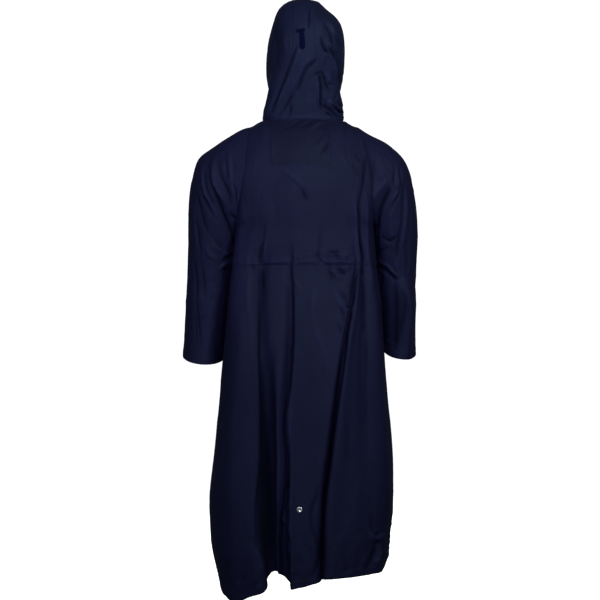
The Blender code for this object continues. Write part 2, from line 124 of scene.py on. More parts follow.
# How far the casing and the patch stand up, and how far the cloth is drawn up beside the neck.
CASING_LIFT, PATCH_LIFT, NECK_LIFT = 0.9 * MM, 0.8 * MM, 10 * MM
# How crumpled all the cloth is, the reach in millimetres from which a fold is a broad one, and
# the share of its reach that a narrower one is laid with.
CALM_CLOTH, BROAD_FOLD, CREASE_SHARPNESS = 0.22, 14, 0.8
# How far the soft unevenness and the seams' grooves count as folds in the cloth's painted shade.
SOFT_PAINTED_SHADE, GROOVE_PAINTED_SHADE = 0.4, 4
# How the hood and the patch differ from the rest of the cloth, in red, green and blue. The hood's
# is painted light: the hood is made lighter and greener, as if lit more from above.
HOOD_PAINTED_LIGHT, PATCH_SHADE = (1.2, 1.54, 1.2), (0.88, 0.86, 0.82)
# Painted shade and highlight: what is left of the cloth's red, green and blue in a trough, how
# much lighter a ridge is painted, and how fast they change with each millimetre of height.
TROUGH_PAINTED_SHADE, RIDGE_PAINTED_HIGHLIGHT, FOLD_PAINTED_SHADE = (0.3, 0.24, 0.4), 1.3, 0.03
# How deep a trough is where it is dullest, in millimetres, and how much rougher it is there.
DULL_DEPTH, DULLNESS = 7, 0.3
# The snap's cap: radius as a share of the cap's, and height above the cloth in millimetres.
SNAP_PROFILE = (
    (0, 1.3), (0.28, 1.4), (0.42, 1.9), (0.6, 2.4), (0.8, 2.3), (0.93, 1.7), (1, 0.8), (0.98, 0),
    (0.6, -0.4), (0, -0.4),
)
# The stage, in metres: where the camera stands, half the width that it sees at the garment, and
# the sizes of the dome and of the floor.
CAMERA_PLACE, HALF_VIEW = (0.0079, 4.8, -0.4716), 0.786
DOME_RADIUS, FLOOR_RADIUS, FLOOR_LEVEL = 9, 8.5, -1.32

# Creases: each row gives how far a crease reaches to the wearer's right and left of its line, or
# above and below a line that runs level from left to right, and then the line from its top, as
# (x, z, height). A height below 0 is a trough, and the crease runs out where none is given. All
# are in millimetres.
BACK_CREASES = (
    # The long narrow fold from the right shoulder to the waist, and on down the side of the skirt
    (5, 5, (-166, -84), (-163, -105, -5), (-160, -125, -6), (-155, -176, -6), (-148, -208, -7),
     (-144, -230, -10), (-145, -255, -13), (-146, -280, -14), (-149, -331, -14), (-152, -375, -10),
     (-151, -408, -7), (-154, -446, -7), (-156, -523, -6), (-161, -587, -5), (-162, -650, -4),
     (-161, -745, -3), (-165, -818)),
    (6, 5, (-158, -186), (-160, -204, 3), (-163, -225, 4), (-163, -260, 5), (-165, -331, 5),
     (-168, -374, 5), (-176, -410, 4), (-178, -440)),
    (22, 6, (-132, -190), (-134, -240, 4), (-138, -300, 5), (-141, -362, 3), (-142, -400)),
    (3, 3, (-134, -92), (-142, -104, -4), (-148, -116, -3), (-150, -128)),
    (7, 6, (-126, -118), (-134, -134, -2), (-144, -150, -2), (-150, -166)),
    # The corner where the back turns to the side, under the left sleeve
    (18, 8, (158, -220), (164, -280, 6), (168, -350, 8), (175, -430, 8), (183, -500, 6), (188, -570)),
    # Upper back
    (9, 5, (52, -130), (49, -140, 3), (30, -156, 4.5), (12, -172, 4), (-2, -196)),
    (5, 4, (14, -178), (4, -192, -4.5), (-5, -212, -5.5), (-10, -222)),
    (3, 5, (96, -270), (99, -288, -3), (102, -318, -4), (109, -344, -6), (109, -374, -5)),
    (5, 4, (90, -270), (95, -300, 2.5), (100, -340, 3), (100, -376)),
    (5, 3, (-46, -270), (-43, -305, -3), (-40, -339, -5), (-39, -364, -5), (-48, -375, -4), (-64, -380)),
    (20, 8, (-92, -308), (-106, -330, 3), (-122, -352, 4), (-136, -372, 2)),
    (7, 7, (-96, -300), (-106, -320, -2.5), (-120, -345, -3), (-136, -366)),
    (22, 18, (70, -150), (78, -200, -3), (72, -262, -3), (60, -330)),
    (26, 20, (-70, -170), (-82, -230, -3), (-76, -300, -2), (-64, -350)),
    (24, 24, (20, -225), (10, -270, 2.5), (12, -320, 2.5), (8, -355)),
    (3, 3, (78, -60), (79, -90, 2), (79, -116)),
    (4, 3, (64, -36), (30, -22, -5), (6, -10, -5), (-16, -6)),
    (3, 3, (12, -30), (-6, -20, -5), (-28, -8, -5), (-46, -6)),
    (3, 4, (-12, -38), (-30, -24, 5), (-46, -14, 5), (-58, -10)),
    (4, 4, (-30, -84), (-44, -70, 4), (-56, -52, 4), (-62, -36)),
    (4, 4, (-40, -96), (-52, -90, -4), (-62, -74, -4), (-66, -60)),
    # The waist, level from left to right: the roll of the casing and the groove under it
    (4, 5, (100, -372), (84, -374, 3.5), (60, -374, 4), (42, -374, 3), (34, -375)),
    (4, 4, (20, -374), (8, -374, 2), (-10, -374, 2), (-24, -374)),
    (4, 4, (-44, -372), (-60, -374, 3.5), (-84, -374, 4), (-116, -376, 4), (-134, -378)),
    (4, 4, (150, -380), (136, -380, 1.5), (120, -380, 1.5), (112, -380)),
    (3, 4, (116, -384, -1), (104, -383, -2.5), (84, -382, -1), (60, -382, -1.5), (44, -382, -1),
     (30, -382)),
    (3, 3, (-12, -382), (-30, -382, -0.5), (-48, -383, -1), (-58, -383, -2), (-70, -383, -2.5),
     (-84, -384, -2), (-96, -385, -3), (-108, -384, -2), (-116, -384)),
    (3, 3, (-50, -364), (-62, -362, -3), (-72, -364, -3), (-84, -361, -3.5), (-98, -364, -3),
     (-112, -366, -3), (-122, -368)),
    (3, 3, (-60, -352), (-70, -350, -2.5), (-80, -352, -3), (-90, -349, -2.5), (-98, -350)),
    (3, 3, (-58, -358), (-74, -357, 3), (-90, -356, 3), (-106, -358)),
    (3, 3, (-62, -392), (-76, -390, 4), (-92, -390, 4), (-106, -392)),
    # Below the waist
    (3, 3, (34, -378), (33, -400, -2.5), (32, -420, -3), (22, -438, -3), (18, -442)),
    (5, 8, (34, -430), (31, -446, -3), (30, -480, -2.5), (30, -545, -2), (36, -640, -2), (40, -700)),
    (5, 7, (24, -418), (16, -432, 4), (8, -446, 3), (4, -470)),
    (5, 8, (104, -385), (105, -400, -5), (105, -440, -6), (107, -500, -6), (107, -560, -7),
     (106, -625, -7), (102, -690, -4), (100, -740)),
    (7, 9, (134, -396), (140, -430, 4), (140, -480, 4), (132, -560, 3), (128, -640)),
    (5, 5, (-138, -390), (-132, -420, -5), (-127, -450, -6), (-121, -488, -5), (-116, -496)),
    (4, 4, (-124, -494), (-122, -506, -8), (-114, -536, -11), (-107, -587, -11), (-96, -670, -9),
     (-85, -740, -8), (-75, -800, -8), (-63, -890, -8), (-53, -975, -7), (-49, -1050, -6),
     (-47, -1120, -6), (-46, -1175, -5)),
    (3, 3, (-100, -484), (-110, -488, -5.5), (-120, -494, -5.5), (-128, -498)),
    (4, 3, (-104, -500), (-112, -498, 4), (-120, -502, 4), (-126, -506)),
    (12, 9, (-26, -400), (-26, -436, 3), (-28, -537, 4), (-47, -593, 4), (-60, -643, 2), (-66, -700)),
    (3, 4, (-60, -388), (-66, -396, -5), (-74, -412, -5), (-78, -424)),
    (6, 4, (-66, -390), (-76, -400, 7), (-86, -412, 7), (-94, -424)),
    (3, 3, (-88, -394), (-96, -400, -7), (-106, -402, -5.5), (-114, -398)),
    (8, 6, (-70, -430), (-82, -452, 5.5), (-96, -470, 5.5), (-110, -484)),
    (5, 7, (-84, -446), (-98, -456, -5.5), (-112, -470, -5.5), (-118, -480)),
    (5, 5, (-78, -462), (-88, -476, 4.5), (-102, -492, 4.5), (-110, -500)),
    (4, 5, (-92, -484), (-98, -496, -5.5), (-104, -516, -5.5), (-106, -530)),
    (5, 5, (-60, -516), (-74, -520, 3), (-88, -528, 3.5), (-98, -540)),
    (4, 5, (-74, -512), (-86, -528, -4), (-94, -546, -5.5), (-98, -566)),
    (9, 7, (-112, -780), (-114, -808, -2.5), (-114, -850, -3), (-113, -900)),
    # The dark bottom of the left valley, and the middle panel's edge that leans over its right side
    (11, 13, (98, -610), (98, -700, -8), (95, -800, -14), (91, -900, -17), (88, -1000, -17),
     (84, -1100, -15), (82, -1180, -9)),
    (7, 12, (32, -690), (36, -760, 7), (42, -840, 11), (48, -920, 13), (46, -975, 11), (40, -1040, 8),
     (34, -1100, 6), (30, -1180, 3)),
    # Low on the skirt, on both sides of the middle panel
    (7, 4, (108, -870), (106, -905, -4), (113, -950, -5), (117, -1047, -6), (118, -1090, -5),
     (122, -1120)),
    (4, 7, (128, -1082), (126, -1092, 4), (112, -1112, 5), (103, -1126, 5), (99, -1146, 4),
     (92, -1165, 3), (90, -1190, 1)),
    (3, 6, (52, -880), (44, -905, -6), (39, -940, -8), (41, -967, -8), (36, -990, -8), (48, -1018, -9),
     (38, -1056, -7), (32, -1093, -7), (34, -1150, -8), (33, -1186, -7)),
    (4, 6, (36, -968), (32, -984, 4), (42, -1010, 5), (40, -1034, 4), (32, -1050)),
    (6, 5, (-28, -930), (-36, -956, -4), (-21, -996, -5), (-27, -1061, -4), (-43, -1096, -5),
     (-35, -1143, -5), (-22, -1166, -3)),
    (4, 4, (-12, -1002), (-14, -1030, 3), (-16, -1060, 3), (-22, -1092, 3), (-34, -1104)),
    (3, 3, (10, -968), (12, -980, 2), (8, -990, 2), (0, -992)),
    (4, 3, (-172, -1000), (-176, -1022, -4), (-173, -1050, -4), (-180, -1066, -5), (-192, -1066, -5),
     (-206, -1058)),
    (5, 4, (-168, -1046), (-172, -1062, 6), (-186, -1078, 7.5), (-202, -1074, 6), (-212, -1066)),
    (4, 6, (-186, -1078), (-184, -1100, -7.5), (-174, -1130, -9), (-160, -1152, -6)),
    (4, 4, (-196, -1092), (-194, -1116, 6), (-184, -1142, 6), (-176, -1160)),
    (3, 4, (-136, -1096), (-142, -1116, -4.5), (-140, -1140, -4.5), (-132, -1158)),
    (4, 3, (-156, -1104), (-152, -1130, 4.5), (-146, -1150, 5), (-146, -1166, 3)),
    (3, 3, (-108, -1118), (-112, -1136, -4), (-108, -1154, -4), (-104, -1168)),
    (3, 3, (-96, -1124), (-94, -1140, 3), (-98, -1158, 3), (-96, -1170)),
    (5, 4, (146, -1150), (148, -1168, -4), (156, -1180, -4), (166, -1186)),
    (4, 4, (116, -1176), (122, -1188, -4.5), (128, -1196, -4.5), (134, -1208)),
    (4, 3, (108, -1180), (112, -1192, 4.5), (116, -1202, 4.5), (118, -1210)),
)
FRONT_CREASES = (
    (9, 6, (126, -70), (134, -120, -3), (142, -180, -4), (144, -260, -5), (140, -330, -4),
     (146, -420, -3), (152, -520)),
    (6, 9, (-122, -66), (-130, -116, -3), (-140, -170, -4), (-138, -240, -5), (-142, -310, -3),
     (-150, -400)),
    (18, 14, (58, -120), (66, -190, -2.5), (60, -270, -3), (66, -350, -2), (70, -430)),
    (14, 20, (-50, -140), (-58, -220, -2.5), (-52, -300, -2.5), (-60, -380)),
    (10, 8, (34, -60), (20, -84, 2), (2, -104, 2.5), (-18, -122)),
    (8, 9, (-30, -66), (-22, -92, -2), (-6, -118, -2), (4, -140)),
    (12, 7, (96, -400), (92, -470, -3), (84, -580, -4), (82, -700, -4), (90, -820, -5), (94, -940, -6),
     (92, -1060, -5), (96, -1150, -4), (96, -1190, -4)),
    (6, 12, (26, -440), (30, -540, -3), (24, -660, -4), (18, -780, -4), (14, -900, -5), (20, -1020, -5),
     (16, -1130, -4), (14, -1180, -4)),
    (10, 9, (-52, -420), (-46, -520, -3), (-54, -640, -3), (-62, -760, -4), (-58, -880, -5),
     (-52, -1000, -6), (-58, -1110, -5), (-60, -1170, -4)),
    (8, 10, (-128, -470), (-122, -560, -3), (-128, -680, -3), (-134, -800, -2), (-138, -900)),
    (12, 12, (58, -560), (56, -660, 2.5), (60, -780, 3), (56, -900, 2), (58, -1000)),
    (12, 12, (-18, -600), (-16, -700, 2.5), (-20, -820, 2.5), (-16, -960)),
    (6, 5, (150, -1060), (140, -1082, 2.5), (124, -1104, 3), (112, -1132)),
    (5, 7, (-96, -1040), (-104, -1066, 2.5), (-118, -1090, 2.5), (-128, -1120)),
    (4, 5, (-130, -1070), (-140, -1080, -2), (-152, -1086, -2), (-166, -1090)),
)
LEFT_SLEEVE_BACK = (
    # The deep fold from the shoulder to the armpit, and the long ridge beside it
    (5, 6, (244, -96), (246, -120, -3), (242, -158, -4), (231, -186, -7), (218, -220, -9),
     (202, -259, -9), (189, -288, -8), (176, -318, -4)),
    (7, 6, (230, -96), (233, -140, 5), (229, -176, 6), (216, -200, 5), (198, -226, 1)),
    (6, 5, (221, -92), (218, -132, -4), (210, -160, -5), (197, -186, -6), (190, -212, -5), (190, -236)),
    # Thin folds that fan out from the shoulder
    (3, 3, (264, -118), (263, -150, 3), (260, -180, 4), (251, -202, 4), (238, -226, 4), (227, -246)),
    (4, 3, (257, -118), (255, -160, -4), (247, -198, -4), (234, -222, -3), (226, -236)),
    (3, 4, (268, -150), (262, -188, -4), (252, -220, -4), (240, -244, -3), (230, -262)),
    (4, 5, (276, -192), (274, -204, -3), (267, -240, -4), (259, -270, -4), (247, -300)),
    (4, 4, (280, -262), (277, -280, -3), (272, -316, -4), (267, -348, -2), (264, -360)),
    (5, 6, (284, -220), (283, -250, 2), (280, -300, 2), (276, -340)),
    (5, 4, (204, -84), (200, -110, -2.5), (196, -150, -3), (193, -176)),
    (4, 4, (184, -84), (180, -120, -3), (178, -160, -3), (180, -186)),
    (3, 4, (182, -170), (176, -184, -4), (172, -206, -4), (172, -230)),
    (6, 6, (192, -96), (188, -130, 3), (184, -166, 3), (182, -200)),
    (4, 5, (188, -246), (184, -254, -5), (174, -262, -5), (168, -268)),
    # Bunched cloth below the armpit
    (6, 4, (172, -340, -4), (189, -357, -7), (204, -367, -6), (214, -380)),
    (5, 4, (174, -362, 3), (194, -373, 5), (208, -381, 3), (216, -388)),
    (4, 4, (184, -330), (186, -344, 3), (196, -352, 3), (208, -354)),
    (5, 5, (212, -388), (202, -392, -4), (188, -392, -4), (176, -390, -2)),
    (5, 4, (238, -300), (226, -322, -3), (212, -338, -3), (204, -346)),
    # The flat that turns away below it, and long thin folds to the cuff
    (16, 16, (206, -400), (210, -430, 3), (213, -470, 4), (214, -520, 4), (216, -570, 3), (218, -600)),
    (4, 4, (288, -352), (282, -392, -4), (279, -446, -4), (278, -500, -4), (273, -540, -4),
     (268, -590, -2)),
    (5, 5, (270, -350), (265, -386, -3), (260, -432, -3), (256, -470)),
    (4, 4, (283, -500), (282, -530, -2.5), (280, -570, -2.5), (278, -600)),
    (9, 9, (246, -400), (248, -470, 2.5), (246, -540, 3), (250, -600, 1)),
    (5, 5, (254, -330), (246, -350, 3), (232, -364, 3), (220, -366)),
    (4, 5, (228, -440), (232, -450, 2.5), (226, -462, 2.5), (220, -466)),
)
LEFT_SLEEVE_FRONT = (
    (9, 6, (236, -110), (232, -150, -3), (222, -200, -4), (206, -244, -3), (190, -280)),
    (5, 6, (262, -130), (258, -180, -2), (246, -230, -2.5), (232, -262)),
    (6, 6, (198, -90), (192, -130, -2.5), (190, -190, -3), (194, -240)),
    (6, 6, (258, -300), (240, -322, 2.5), (216, -336, 3), (196, -340, 1)),
    (5, 4, (252, -342), (232, -356, -3), (208, -362, -4), (188, -360, -2)),
    (6, 5, (240, -372), (224, -384, 2.5), (204, -386, 2.5), (186, -380)),
    (12, 7, (222, -410), (228, -460, -3), (232, -530, -3), (230, -600, -2)),
    (8, 9, (270, -420), (268, -490, -2), (262, -560, -1.5), (262, -600)),
)
# The cloth that closes up against the body under the right arm
RIGHT_ARMPIT = (9, 9, (-189, -284), (-190, -298, 7), (-190, -318, 7), (-192, -345))
RIGHT_SLEEVE_BACK = (
    # The deep dark fold that starts on the upper arm and runs to the body's side
    (4, 11, (-229, -178), (-224, -190, -7), (-210, -220, -10), (-197, -259, -11), (-194, -310, -9),
     (-196, -350, -4), (-198, -370)),
    (9, 9, (-216, -150), (-208, -170, 5), (-196, -186, 5), (-184, -206, 4), (-176, -226)),
    (6, 4, (-186, -164), (-200, -162, -2.5), (-214, -158, -2.5), (-224, -152)),
    # Thin folds that fan down the arm
    (3, 3, (-244, -184), (-241, -192, 4), (-234, -208, 4), (-227, -226)),
    (4, 4, (-250, -190), (-244, -206, -3), (-234, -222, -3), (-228, -240)),
    (4, 4, (-263, -150), (-262, -174, -4), (-260, -212, -5), (-259, -251, -5), (-254, -290, -6),
     (-246, -324, -6), (-241, -358, -4), (-240, -380)),
    (6, 6, (-270, -170), (-269, -220, 3), (-266, -270, 4), (-258, -320, 4), (-250, -370, 3),
     (-246, -400)),
    (3, 3, (-237, -122), (-236, -140, -4), (-234, -172, -3), (-234, -184)),
    (3, 4, (-250, -120), (-251, -140, -4), (-254, -166, -3), (-256, -184)),
    (4, 4, (-244, -118), (-244, -146, 3), (-246, -176, 2), (-247, -190)),
    (4, 4, (-276, -180), (-278, -210, -3), (-279, -260, -3), (-276, -300)),
    (4, 4, (-270, -300), (-272, -340, -3), (-272, -390, -3), (-268, -430)),
    (7, 6, (-228, -238), (-226, -262, 4), (-224, -286, 4), (-228, -304, 3), (-236, -312)),
    (3, 4, (-206, -306), (-212, -313, -5), (-223, -319, -6), (-238, -312, -5), (-246, -302)),
    (4, 3, (-196, -336), (-204, -342, -4), (-214, -340, -3), (-222, -334)),
    (5, 5, (-240, -330), (-238, -356, 3), (-240, -384, 3), (-246, -400)),
    # Bunched cloth at the elbow
    (8, 4, (-186, -374, -2), (-200, -384, -6), (-214, -394, -8), (-226, -406, -8), (-236, -416, -6),
     (-246, -424)),
    (4, 3, (-190, -366, 2), (-206, -376, 4), (-220, -384, 5), (-232, -398, 5), (-246, -408, 4),
     (-254, -404)),
    (4, 4, (-200, -398), (-206, -412, -4), (-206, -430, -3), (-204, -444)),
    # The flat that turns away to the body, and the ridge that bounds it
    (14, 46, (-262, -412), (-268, -440, 9), (-274, -480, 17), (-272, -530, 17), (-268, -580, 14),
     (-266, -620, 12)),
    (6, 9, (-256, -440), (-262, -462, -4), (-262, -500, -6), (-256, -536, -5), (-250, -570)),
    (13, 13, (-238, -424), (-241, -452, -7), (-243, -500, -9), (-243, -550, -9), (-242, -590, -7),
     (-242, -606)),
    (5, 5, (-210, -586), (-224, -580, 2.5), (-244, -590, 2.5), (-260, -604)),
    (5, 8, (-190, -96), (-184, -130, -3), (-180, -170, -3.5), (-176, -204)),
    RIGHT_ARMPIT,
)
RIGHT_SLEEVE_FRONT = (
    (6, 9, (-232, -116), (-228, -156, -3), (-218, -206, -4), (-204, -250, -3), (-190, -282)),
    (6, 5, (-258, -140), (-254, -200, -2.5), (-242, -248, -2.5), (-228, -276)),
    (6, 6, (-194, -92), (-188, -140, -2.5), (-186, -196, -3), (-190, -236)),
    (5, 5, (-198, -334), (-220, -340, 3), (-240, -330, 2.5), (-256, -312)),
    (4, 5, (-190, -352), (-208, -358, -4), (-230, -356, -3), (-250, -344)),
    (7, 10, (-224, -400), (-230, -450, -3), (-232, -520, -3), (-228, -590, -2)),
    (8, 8, (-264, -410), (-262, -480, -2), (-256, -560, -1.5), (-256, -596)),
    RIGHT_ARMPIT,
)
# The shallow dent at the top right of the hood
HOOD_TOP = (26, 26, (-36, 296), (-50, 288, -12), (-62, 270, -10), (-70, 246))
HOOD_BACK = (
    # Two long folds that cross the hood to its lower left
    (3, 3, (16, 186), (20, 171, -4), (33, 139, -6), (51, 95, -7.5), (66, 58, -7.5), (80, 26, -6),
     (88, 8, -1.5)),
    (7, 5, (8, 178), (14, 160, 3), (32, 112, 4), (54, 66, 4), (72, 24, 1)),
    (4, 4, (-36, 148), (-31, 141, -5), (-12, 123, -6), (3, 98, -7), (12, 74, -6), (18, 66, -2.5),
     (22, 64)),
    (3, 3, (18, 74), (24, 62, -3.5), (34, 46, -6), (51, 21, -6), (62, 6, -3.5)),
    (7, 6, (-26, 150), (-4, 132, 3.5), (10, 106, 4), (22, 84, 4), (40, 64, 2.5), (56, 40)),
    (4, 4, (66, 20), (72, 12, 3), (80, 6, 3), (92, 2)),
    (3, 3, (33, 40), (32, 26, -4.5), (34, 8, -4.5), (38, -2)),
    (2.5, 2.5, (-17, 288), (-16, 270, -4.5), (-15, 235, -4.5), (-15, 222)),
    # The fold that stands beside the centre panel, and the small ones beside it
    (3, 4, (-42, 112), (-46, 94, -7.5), (-48, 60, -7.5), (-48, 30, -7.5), (-50, 18, -3)),
    (5, 3, (-38, 100), (-39, 70, 4), (-40, 36, 4), (-42, 20)),
    (3, 3, (-54, 70), (-56, 50, 4), (-56, 34, 4), (-54, 26)),
    (4, 3, (-30, 102), (-38, 108, -4.5), (-46, 112, -4.5), (-52, 108, -6), (-58, 92, -7.5), (-66, 72, -6),
     (-72, 62)),
    (3, 3, (-66, 86), (-74, 84, -6), (-80, 80)),
    (5, 4, (-58, 112), (-66, 98, 5), (-74, 84, 4), (-80, 72)),
    # Folds at the upper right
    (4, 4, (-52, 240), (-60, 234, -4.5), (-69, 220, -6), (-76, 204, -7.5), (-78, 190, -6), (-82, 182)),
    (4, 4, (-64, 246), (-74, 232, 5), (-80, 218, 5), (-84, 206)),
    (3, 3, (-74, 250), (-82, 240, -4.5), (-88, 226, -4.5), (-90, 214)),
    (4, 3, (-46, 206), (-49, 192, -7.5), (-56, 174, -9), (-64, 166, -7.5), (-70, 166)),
    (5, 4, (-66, 176), (-74, 168, -9), (-84, 154, -7.5), (-92, 124, -7.5), (-96, 96, -6), (-98, 80)),
    (7, 5, (-54, 166), (-64, 158, 6), (-76, 144, 7.5), (-84, 120, 6), (-86, 100)),
    (5, 5, (-58, 200), (-66, 186, 5), (-78, 178, 5), (-90, 168)),
    (3, 3, (-84, 204), (-92, 196, -6), (-96, 184, -4.5), (-98, 172)),
    # Bunched cloth at the lower right, above the neck seam
    (4, 3, (-52, 34), (-57, 26, -7.5), (-66, 22, -9), (-82, 12, -7.5), (-92, 0, -4.5)),
    (3, 3, (-56, 12), (-64, 10, -6), (-76, 4, -6), (-88, -6)),
    (3, 3, (-60, 42), (-72, 38, 6), (-86, 30, 6), (-98, 24, 5), (-108, 22)),
    (3, 3, (-76, 34), (-88, 24, -7.5), (-98, 18, -7.5), (-110, 16, -4.5)),
    (3, 3, (-84, 22), (-92, 10, 5), (-100, 8, 5), (-110, 6, 2.5)),
    (3, 3, (-86, 44), (-94, 38, -6), (-104, 34, -4.5), (-110, 34)),
    (3, 3, (-60, 2), (-70, 0, 5), (-80, -2, 5), (-90, -4)),
    # Soft hollow along the left, and broad soft forms
    (20, 9, (72, 272), (74, 246, -3), (73, 200, -5), (70, 160, -4), (76, 112)),
    (14, 14, (-12, 60), (-14, 44, 2), (-12, 24, 2), (-10, 8)),
    (8, 8, (44, 226), (48, 200, 2), (44, 170, 2), (40, 150)),
    (5, 5, (70, 60), (80, 44, 3), (90, 24, 3), (98, 8)),
    HOOD_TOP,
)
HOOD_FRONT = (
    HOOD_TOP,
    (5, 5, (84, 90), (76, 70, -2.5), (60, 52, -3), (40, 40, -2), (26, 34)),
    (5, 5, (-84, 96), (-78, 72, -2.5), (-62, 50, -3), (-44, 40, -2), (-28, 36)),
    (6, 6, (86, 60), (70, 40, 2.5), (50, 24, 2.5), (30, 16)),
    (6, 6, (-88, 62), (-72, 38, 2.5), (-52, 22, 2.5), (-32, 18)),
    (5, 6, (96, 200), (92, 160, -2), (84, 126, -2.5), (74, 104)),
    (6, 5, (-98, 196), (-94, 158, -2), (-86, 128, -2.5), (-76, 108)),
)
# Short puckers that cross the waist's gathers: x, z and height of the middle.
WAIST_PUCKERS = (
    (-60, -360, 3), (-65, -356, -3), (-70, -362, 3.5), (-75, -357, -3), (-80, -360, 3), (-86, -363, -3.5),
    (-91, -359, 3), (-97, -364, -3), (-103, -366, 3), (-66, -388, -2.5), (-74, -390, 3), (-82, -389, -3),
    (-90, -391, 3), (28, -366, -2.5), (22, -364, 2.5), (15, -367, -2.5), (8, -365, 2.5), (1, -367, -2),
    (142, -384, 2), (132, -386, -2), (122, -384, 2),
)
# What makes the cloth uneven everywhere: each layer's height in millimetres, seed, length in
# metres, and how many times longer it is down the garment than across.
WAVES = ((1.2, 3, 0.17, 2.6), (0.3, 4, 0.06, 2.2))
COARSE_CRUMPLES = (
    (3.2, 5, 0.12, 2.4), (-2.6, 7, 0.105, 2), (1.7, 8, 0.052, 1.6), (-1.4, 9, 0.044, 1.4),
)
TINY_CRUMPLES = ((1.3, 12, 0.027, 1.2), (-1.1, 14, 0.024, 1))
# Places where the cloth is more crumpled: x, z and reach in millimetres, and how much more.
CRUMPLED = (
    (-205, -1090, 80, 3.0), (-120, -1150, 60, 2.6), (150, -1190, 60, 2.0), (20, -1150, 50, 1.6),
    (-90, -400, 60, 1.2), (-78, -362, 32, 3.0), (-110, -60, 60, 0.8), (-60, -110, 50, 0.6),
    (70, -20, 50, 0.6), (-80, 120, 70, 0.9), (-90, 40, 50, 2.0), (70, 40, 50, 0.6),
    (60, 150, 50, 0.4), (220, -180, 90, 0.8), (230, -370, 70, 0.9), (270, -520, 80, 0.6),
    (-230, -180, 90, 0.9), (-230, -350, 80, 1.0), (-260, -520, 80, 0.6),
)


def ease(x):
    """0 below 0, 1 above 1, and smooth between."""
    x = np.clip(x, 0, 1)
    return x * x * (3 - 2 * x)


def spline(knots, values, places):
    """The natural cubic spline through values, whose first axis goes with knots."""
    step = np.diff(knots)
    shape = (-1,) + (1,) * (values.ndim - 1)
    slope = np.diff(values, axis=0) / step.reshape(shape)
    system = np.eye(len(knots))
    index = np.arange(1, len(knots) - 1)
    system[index, index - 1] = step[:-1]
    system[index, index] = 2 * (step[:-1] + step[1:])
    system[index, index + 1] = step[1:]
    turn = np.zeros_like(values)
    turn[1:-1] = 6 * np.diff(slope, axis=0)
    bend = np.linalg.solve(system, turn.reshape(len(knots), -1)).reshape(values.shape)
    i = np.clip(np.searchsorted(knots, places, side="right") - 1, 0, len(step) - 1)
    h = step[i].reshape(shape)
    inside = np.clip(places, knots[0], knots[-1])
    b = ((inside - knots[i]) / step[i]).reshape(shape)
    a = 1 - b
    result = a * values[i] + b * values[i + 1]
    result += ((a**3 - a) * bend[i] + (b**3 - b) * bend[i + 1]) * h**2 / 6
    beyond = (places - inside).reshape(shape)
    ends = slope[i] + (3 * b**2 - 1) / 6 * h * bend[i + 1] - (3 * a**2 - 1) / 6 * h * bend[i]
    return result + beyond * ends


# Reading a solid


def outer_side(node):
    """Points and triangles of the outer side of a solid's wall, without its rim and inner side."""
    mesh = NODES[node].data
    points = np.empty(3 * len(mesh.vertices))
    mesh.vertices.foreach_get("co", points)
    corners = np.empty(3 * len(mesh.polygons), int)
    mesh.polygons.foreach_get("vertices", corners)
    _, first, merged = np.unique(
        np.round(points.reshape(-1, 3), 5), axis=0, return_index=True, return_inverse=True
    )
    points = points.reshape(-1, 3)[first]
    faces = merged.reshape(-1)[corners].reshape(-1, 3)
    # A triangle with a side as long as the wall is thick belongs to the rim.
    sides = points[faces] - points[np.roll(faces, 1, axis=1)]
    wall, slack = (WALL, 0.01 * MM) if node in PANELS else (TRIM_WALL, 0.05 * MM)
    off_wall = np.abs(np.linalg.norm(sides, axis=-1) - wall).min(axis=1)
    faces = faces[off_wall > slack]
    # The rest is the outer and the inner side, and more of the outer side faces away from the middle.
    label = np.arange(len(points))
    while True:
        lowest = label[faces].min(axis=1)
        updated = label.copy()
        np.minimum.at(updated, faces, lowest[:, None])
        if (updated == label).all():
            break
        label = updated
    part = label[faces[:, 0]]
    a, b, c = (points[faces[:, corner]] - points.mean(axis=0) for corner in range(3))
    flux = (np.cross(b - a, c - a) * (a + b + c)).sum(axis=1)
    outer = max(set(part), key=lambda one: flux[part == one].sum())
    return points, faces[part == outer]


def grid_of(node, ring):
    """The outer side as rows and columns of points. The first row starts at its lowest corner."""
    points, faces = outer_side(node)
    # The corner opposite each side of a triangle, and the sides that no other triangle shares.
    third = {}
    for a, b, c in faces.tolist():
        third[a, b], third[b, c], third[c, a] = c, a, b
    border = {a: b for a, b in third if (b, a) not in third}
    # The first row runs along the border: round a sleeve's top, or from corner to corner.
    if ring:
        row = [max(border, key=lambda point: points[point][2])]
    else:
        uses = np.bincount(faces.ravel())
        row = [min((a for a in border if uses[a] == 2), key=lambda point: points[point][2])]
    while border[row[-1]] != row[0] and (ring or len(row) == 1 or uses[row[-1]] > 1):
        row.append(border[row[-1]])
    if ring:
        lowest = min(range(len(row)), key=lambda place: points[row[place]][2])
        row = row[lowest:] + row[:lowest]
    # Each next row is reached across the pair of triangles between two points of the last.
    rows = [row]
    while (row[0], row[1]) in third:
        pairs = zip(row, row[1:] + row[:1] if ring else row[1:])
        over = [third[pair] for pair in pairs]
        row = over[-1:] + over[:-1] if ring else [third[row[0], over[0]], *over]
        rows.append(row)
    return points[np.array(rows)]


